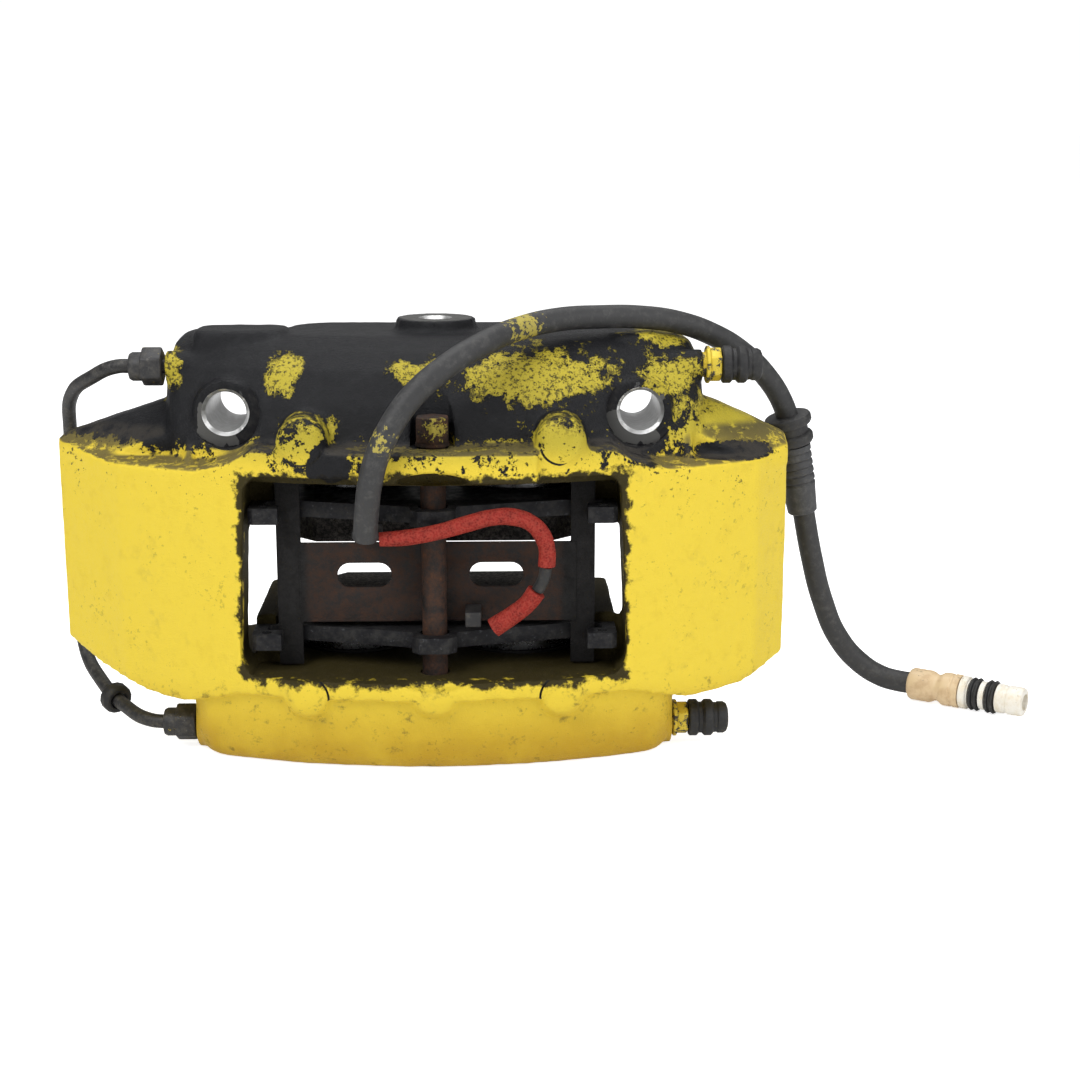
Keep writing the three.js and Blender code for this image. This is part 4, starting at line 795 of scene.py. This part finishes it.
def facing():
    """Flat seats round the holes, room for the pin's head and the plate, and the humps' rings."""
    tools = bmesh.new()
    for side in (-1, 1):
        bolt = (side * BOLT_X, 0, BOLT_Z)
        spun([(0, BOSS_FRONT - 14), (BOSS_RADIUS + 0.9, BOSS_FRONT - 14), (BOSS_RADIUS + 0.9, BOSS_FRONT),
              (0, BOSS_FRONT)], (0, 1, 0), bolt, 72, tools, SEAT_SKIN)
        back = EAR_BACK - SEAT_CUT
        spun([(0, back), (BOSS_RADIUS + 3, back), (BOSS_RADIUS + 3, EAR_BACK + 6), (0, EAR_BACK + 6)],
             (0, 1, 0), bolt, 72, tools, SEAT_SKIN)
    spun([(0, PORT_TOP - 0.1), (15.5, PORT_TOP - 0.1), (15.5, PORT_TOP + 4), (0, PORT_TOP + 4)],
         (0, 0, 1), (0, PORT_Y, 0), 72, tools, SEAT_SKIN)
    spun([(0, RAIL_TOP), (6.9, RAIL_TOP), (6.9, 122), (0, 122)],
         (0, 0, 1), (0, PIN_Y, 0), 40, tools, PAINT_SKIN)
    for x, z, front in HUMPS:
        outer = HUMP_RING + RING_WIDTH
        spun([(HUMP_RING, front - 6), (outer, front - 6), (outer, front + 0.5),
              (HUMP_RING, front + 0.5)], (0, 1, 0), (x, 0, z), 40, tools, DIRT_SKIN)
    room = cad_copy("pad_backing_plate_inboard")
    middle = sum((vert.co for vert in room.verts), Vector()) / len(room.verts)
    pushed_back = Matrix.Translation(middle + Vector((0, 0, PLATE_PUSHED_BACK * MM)))
    bmesh.ops.transform(room, matrix=pushed_back @ PLATE_ROOM @ Matrix.Translation(-middle), verts=room.verts)
    for face in room.faces:
        face.material_index = PAINT_SKIN
    return add_to(tools, room)


def boring():
    """All the holes of the machined casting, as one set of separate tools."""
    tools = bmesh.new()
    bore, core, hole = BOLT_BORE / 2, PORT_BORE / 2, PIN_RADIUS + 0.3
    for side in (-1, 1):
        back = EAR_BACK - SEAT_CUT
        spun([(0, BOSS_FRONT - 3), (bore + 1.1, BOSS_FRONT - 3), (bore + 1.1, BOSS_FRONT),
              (bore, BOSS_FRONT + 1.1), (bore, back - 1), (bore + 1, back), (bore + 1, EAR_BACK + 3),
              (0, EAR_BACK + 3)], (0, 1, 0), (side * BOLT_X, 0, BOLT_Z), 72, tools)
    spun([(0, PORT_TOP - PORT_DEPTH), (core, PORT_TOP - PORT_DEPTH + 2), (core, PORT_TOP - 1.4),
          (core + 1.4, PORT_TOP), (core + 1.4, PORT_TOP + 2), (0, PORT_TOP + 2)],
         (0, 0, 1), (0, PORT_Y, 0), 72, tools)
    for y, z, left, right in FITTINGS.values():
        for axis, end in (((1, 0, 0), right), ((-1, 0, 0), left)):
            spun([(0, end - 14), (4.3, end - 14), (4.3, end - 0.2), (7.2, end - 0.2), (7.2, end + 3),
                  (0, end + 3)], axis, (0, y, z), 40, tools)
    spun([(0, 21), (hole, 21), (hole, 40), (0, 40)], (0, 0, 1), (0, PIN_Y, 0), 40, tools)
    spun([(0, 88), (hole, 88), (hole, RAIL_TOP + 1), (0, RAIL_TOP + 1)], (0, 0, 1), (0, PIN_Y, 0), 40, tools)
    for x, radius in PISTONS.values():
        for axis, face in (((0, 0, 1), FACE_IN), ((0, 0, -1), -FACE_OUT)):
            wall, groove, recess = radius + 0.3, radius + 3.3, radius + 3.7
            spun([(0, face - 1), (recess, face - 1), (recess, face + 4), (wall, face + 4), (wall, face + 5.9),
                  (groove, face + 5.9), (groove, face + 9.5), (wall, face + 9.5),
                  (wall, face + CYLINDER_DEPTH), (0, face + CYLINDER_DEPTH + 1)],
                 axis, (x, PISTON_Y, 0), 72, tools)
    return tools


def roughen(mesh):
    """Slight swells and pits of a sand casting, as real relief."""
    normals = [vert.normal.copy() for vert in mesh.vertices]
    for vert, normal in zip(mesh.vertices, normals):
        swell = noise.noise(vert.co * 95) * 0.16 + noise.noise(vert.co * 330) * 0.085
        vert.co += normal * swell * MM
        if normal.z < -0.7 and abs(vert.co.z / MM - FACE_IN) < 1.2:
            vert.co.z = max(vert.co.z, (FACE_IN + WALL_CLEARANCE) * MM)
        if normal.z > 0.7 and abs(vert.co.z / MM - FACE_OUT) < 1.2:
            vert.co.z = min(vert.co.z, (FACE_OUT - WALL_CLEARANCE) * MM)


def cast_body():
    """The CAD body as a rough casting, then faced and bored like the real one."""
    body = finish_piece("caliper_casting", cast_blank(), PAINT, "caliper", ["caliper_body"])
    remesh = body.modifiers.new("remesh", "REMESH")
    remesh.mode, remesh.voxel_size = "VOXEL", VOXEL
    smooth = body.modifiers.new("smooth", "SMOOTH")
    smooth.factor, smooth.iterations = 0.5, SMOOTH_STEPS
    baked(body)
    roughen(body.data)
    decimate = body.modifiers.new("decimate", "DECIMATE")
    decimate.ratio = min(1.0, DECIMATE_TO / (2 * len(body.data.polygons)))
    baked(body)
    for shape, skins in ((facing(), (SEAT, PAINT, DIRT)), (boring(), (MACHINED,))):
        tools = finish_piece("cutting_tools", shape, skins[0], "caliper", own_skins=skins[1:])
        cut = body.modifiers.new("cut", "BOOLEAN")
        cut.operation, cut.solver, cut.object, cut.material_mode = "DIFFERENCE", "MANIFOLD", tools, "TRANSFER"
        baked(body)
        bpy.data.objects.remove(tools)
    shape = bmesh.new()
    shape.from_mesh(body.data)
    for face in shape.faces:
        face.smooth = True
    for edge in shape.edges:
        edge.smooth = len(edge.link_faces) == 2 and edge.calc_face_angle(0) < math.radians(42)
    shape.to_mesh(body.data)
    shape.free()
    return body


cast_body()

# ---- pistons, seals and boots --------------------------------------------------------------
for half, face, axis in (("inboard", FACE_IN, (0, 0, 1)), ("outboard", -FACE_OUT, (0, 0, -1))):
    for side, (x, radius) in PISTONS.items():
        label = f"{half}_{side}"
        centre = (x, PISTON_Y, 0)
        front, end = face - RETRACTION, face - RETRACTION + PISTON_LENGTH
        inner = radius - 5
        piston = [(0, end - 9), (inner - 1, end - 9), (inner, end - 8), (inner, front + 0.6),
                  (inner + 0.6, front), (radius - 0.9, front), (radius, front + 0.9),
                  (radius, front + 2.6), (radius - 0.5, front + 2.9), (radius - 0.5, front + 4.1),
                  (radius, front + 4.4), (radius, end - 1.4), (radius - 1.4, end), (0, end)]
        finish_piece(f"piston_{label}_finish", spun(piston, axis, centre), PISTON_SKIN, f"piston_{label}",
                     [f"piston_{label}"])
        start = face + SEAL_SETBACK
        seal = [(radius + 0.3, start), (radius + 2.7, start), (radius + 3, start + 0.3),
                (radius + 3, start + 2.7), (radius + 2.7, start + 3), (radius + 0.3, start + 3)]
        finish_piece(f"piston_seal_{label}_finish", spun(seal, axis, centre), SEAL_RUBBER, "caliper",
                     [f"piston_seal_{label}"])
        boot_ring = [(radius + 0.3, face + 0.4), (radius + 1.1, face + 0.1), (radius + 1.7, face + 0.3),
                     (radius + 2, face + 1.5), (radius + 2.4, face + 1.6), (radius + 2.8, face + 1.1),
                     (radius + 3.4, face + 1.2), (radius + 3.4, face + 3.7), (radius + 0.3, face + 3.7)]
        finish_piece(f"dust_boot_{label}_finish", spun(boot_ring, axis, centre), SEAL_RUBBER, "caliper",
                     [f"dust_boot_{label}"])

# ---- pads, pin and spring ------------------------------------------------------------------
for half in ("inboard", "outboard"):
    softened(f"pad_backing_plate_{half}", 0.45, PLATE, f"pad_{half}")
    softened(f"pad_lining_{half}", 0.3, LINING, f"pad_{half}")
softened("pad_spring", 0.2, SPRING_RUST, "caliper", segments=2)


def pad_pin():
    """Pad pin: chamfered tip, shank with a worn waist, hexagonal head with a washer face."""
    tip, seat = FACE_OUT - 9, RAIL_TOP + 0.3
    shank = [(0, tip), (PIN_RADIUS - 1.1, tip), (PIN_RADIUS, tip + 1.1), (PIN_RADIUS, FACE_OUT + 6),
             (PIN_RADIUS - 0.12, FACE_OUT + 8), (PIN_RADIUS - 0.12, FACE_IN - 8), (PIN_RADIUS, FACE_IN - 5),
             (PIN_RADIUS, seat), (5.2, seat), (5.2, seat + 1), (0, seat + 1)]
    shape = spun(shank, centre=(0, PIN_Y, 0), steps=40)
    hexagon_bar(9.8, 8.2, (0, 0, 1), (0, PIN_Y, seat + 0.8), 0.7, shape)
    return shape


finish_piece("pad_pin_finish", pad_pin(), PIN_RUST, "pad_pin", ["pad_pin"])

# ---- crossover pipe ------------------------------------------------------------------------
PIPE_RADIUS = 2.3
y_in, z_in = FITTINGS["inboard"][:2]
y_out, z_out = FITTINGS["outboard"][:2]
WING_LEFT, MIDDLE = 121.5, 61
PIPE_ROUTE = [
    (-INBOARD_LEFT + 1.2, y_in, z_in), (-INBOARD_LEFT - 8, y_in, z_in), (-INBOARD_LEFT - 15, y_in, z_in),
    (-INBOARD_LEFT - 24, 50, z_in - 4), (-WING_LEFT + 1.6, 62.5, z_in - 12),
    (-WING_LEFT - 1.8, 72.8, z_in - 25), (-WING_LEFT - 1.5, 75, MIDDLE + 12),
    (-WING_LEFT - 1.5, 75, MIDDLE - 16), (-WING_LEFT - 0.8, 71.5, z_out + 15),
    (-WING_LEFT + 7.5, 58, z_out + 6), (-WING_LEFT + 18, 44, z_out + 1.6), (-OUTBOARD_LEFT - 16, 35, z_out),
    (-OUTBOARD_LEFT - 8, y_out, z_out), (-OUTBOARD_LEFT + 1.2, y_out, z_out),
]
through_points("crossover_pipe_finish", PIPE_ROUTE, PIPE_RADIUS, PIPE_COAT, "caliper",
               ["crossover_pipe"])


def pipe_nut(left, y, z):
    """Union nut: chamfered hexagon against the boss, round collar where the pipe goes in."""
    seat = -left - 0.3
    shape = hexagon_bar(11, 6.6, (-1, 0, 0), (seat, y, z), 0.7)
    collar = [(2.5, 6), (4.6, 6), (4.6, 9.6), (4.1, 10.5), (3.1, 10.8), (2.5, 10.8)]
    return spun(collar, (-1, 0, 0), (seat, y, z), 48, shape)


for half, (y, z, left, _) in FITTINGS.items():
    finish_piece(f"crossover_nut_{half}_finish", pipe_nut(left, y, z), NUT_STEEL, "caliper",
                 [f"crossover_nut_{half}"])
softened("pipe_clip", 0.25, CLIP_PLASTIC, "caliper", segments=2)


# ---- bleed screws --------------------------------------------------------------------------
def bleed_screw(right, y, z):
    """Bleed screw: shank, washer face, hexagon and the nipple under the cap."""
    seat = right + 0.3
    profile = [(0, -12), (3.6, -12), (4, -11.6), (4, 0), (5.6, 0), (6, 0.3), (6, 1.1), (5.6, 1.4), (4.4, 1.4),
               (4.4, 4.9), (2.6, 5.2), (2.6, 10), (3.2, 10.8), (3.2, 11.6), (2.3, 13.8), (0, 13.8)]
    shape = spun(profile, (1, 0, 0), (seat, y, z), 48)
    return hexagon_bar(9.6, 3.8, (1, 0, 0), (seat + 1.2, y, z), 0.5, shape)


def bleed_cap(right, y, z):
    """Rubber cap with two fat rings and a domed end."""
    mouth = right + 5.6
    profile = [(0, 9.4), (3.4, 9.4), (3.4, 0), (5.6, 0), (6, 0.4), (6, 2.6), (5.6, 3.0), (5.1, 3.4),
               (5.1, 4.4), (5.6, 4.8), (6, 5.3), (6, 7.2), (5.6, 7.8), (5.0, 8.2), (4.9, 9.2),
               (5.2, 9.6), (5.2, 11.4), (4.6, 12.4), (3.4, 12.9), (0, 13)]
    return spun(profile, (1, 0, 0), (mouth, y, z), 56)


for half, (y, z, _, right) in FITTINGS.items():
    finish_piece(f"bleed_screw_{half}_finish", bleed_screw(right, y, z), BLEED_STEEL, f"bleed_screw_{half}",
                 [f"bleed_screw_{half}"])
    finish_piece(f"bleed_cap_{half}_finish", bleed_cap(right, y, z), CAP_RUBBER, f"bleed_cap_{half}",
                 [f"bleed_cap_{half}"])

# ---- sensor leads --------------------------------------------------------------------------
LEAD_RADIUS = 2.6
LEAD_TURN = [
    (-16, 2.4, 76.1), (-8, 2.4, 76.6), (2, 2.3, 78.4), (11, 2.4, 80.9), (18, 2.8, 82.6), (24.5, 3.4, 82.6),
    (30, 4.4, 80.4), (33.4, 5.4, 76.4), (34.9, 6, 71.6), (34.8, 6.2, 66.6),
]
LEAD_DROP = [(31.7, 7.2, 58.2), (29, 7.6, 54.4), (24.2, 8, 50.4), (18.4, 8.4, 46.4)]
LEAD_CORE = [(34.6, 6.3, 66.2), (33.9, 6.6, 62.4), (32, 7.1, 58.6)]
through_points("sensor_lead_inboard_finish", LEAD_TURN, LEAD_RADIUS, SLEEVE_RED, "caliper",
               ["sensor_lead_inboard"], radii=[0.85, 0.95, 0.93, 1, 0.98, 1.04, 0.98, 1.06, 1, 1.05])
through_points("sensor_lead_outboard_finish", LEAD_DROP, LEAD_RADIUS + 0.3, SLEEVE_RED, "caliper",
               ["sensor_lead_outboard"], radii=[1.04, 0.98, 1.02, 1.08])
through_points("sensor_lead_core_finish", LEAD_CORE, 1.9, TAPE, "caliper", ["sensor_lead_core"])
for half in ("inboard", "outboard"):
    softened(f"sensor_head_{half}", 0.4, HEAD_PLASTIC, "caliper")

# ---- floor and light -----------------------------------------------------------------------
FLOOR_SIZE = 30


def floor_finish(graph, point):
    """Pale paper, lit so that the camera sees it as white as the backdrop."""
    cloud = graph.noise(point, 3.0, 2.0)
    pale = graph.mix(cloud, (0.84, 0.84, 0.84, 1), (0.86, 0.86, 0.86, 1))
    glow = graph.step(graph.add("LightPath"), 0.0, 1.0, 0.1, 0.8)
    values = {"Base Color": pale, "Roughness": 0.85, "Emission Color": (1, 1, 1, 1),
              "Emission Strength": glow}
    return values, None, 0


floor_shape = bmesh.new()
bmesh.ops.create_grid(floor_shape, x_segments=2, y_segments=2, size=FLOOR_SIZE / 2)
floor_mesh = bpy.data.meshes.new("floor")
floor_shape.to_mesh(floor_mesh)
floor_shape.free()
floor_mesh.materials.append(material("pale_floor", floor_finish))
floor = bpy.data.objects.new("floor", floor_mesh)
bpy.context.scene.collection.objects.link(floor)

world = bpy.data.worlds.new("studio")
world.use_nodes = True
sky = Graph(world.node_tree)
seen = sky.add("LightPath")
background = world.node_tree.nodes["Background"]
background.inputs["Color"].default_value = (1, 1, 1, 1)
world.node_tree.links.new(sky.step(seen, 0.0, 1.0, 0.26, 1.02), background.inputs["Strength"])
bpy.context.scene.world = world

LIGHTS = {  # place in metres from the caliper's middle, size, watts
    "key": ((-0.55, -0.75, 0.95), 0.7, 9.6),
    "fill": ((0.85, -0.6, 0.6), 0.8, 5.6),
    "top": ((0.0, 0.25, 1.1), 0.9, 7.0),
}
for name, (where, size, power) in LIGHTS.items():
    light = bpy.data.lights.new(name, "AREA")
    light.energy, light.size = power, size
    lamp = bpy.data.objects.new(name, light)
    lamp.location = where
    lamp.rotation_euler = (Vector((0, 0, 0.06)) - Vector(where)).to_track_quat("-Z", "Y").to_euler()
    bpy.context.scene.collection.objects.link(lamp)
bpy.context.scene.view_settings.view_transform = "Standard"
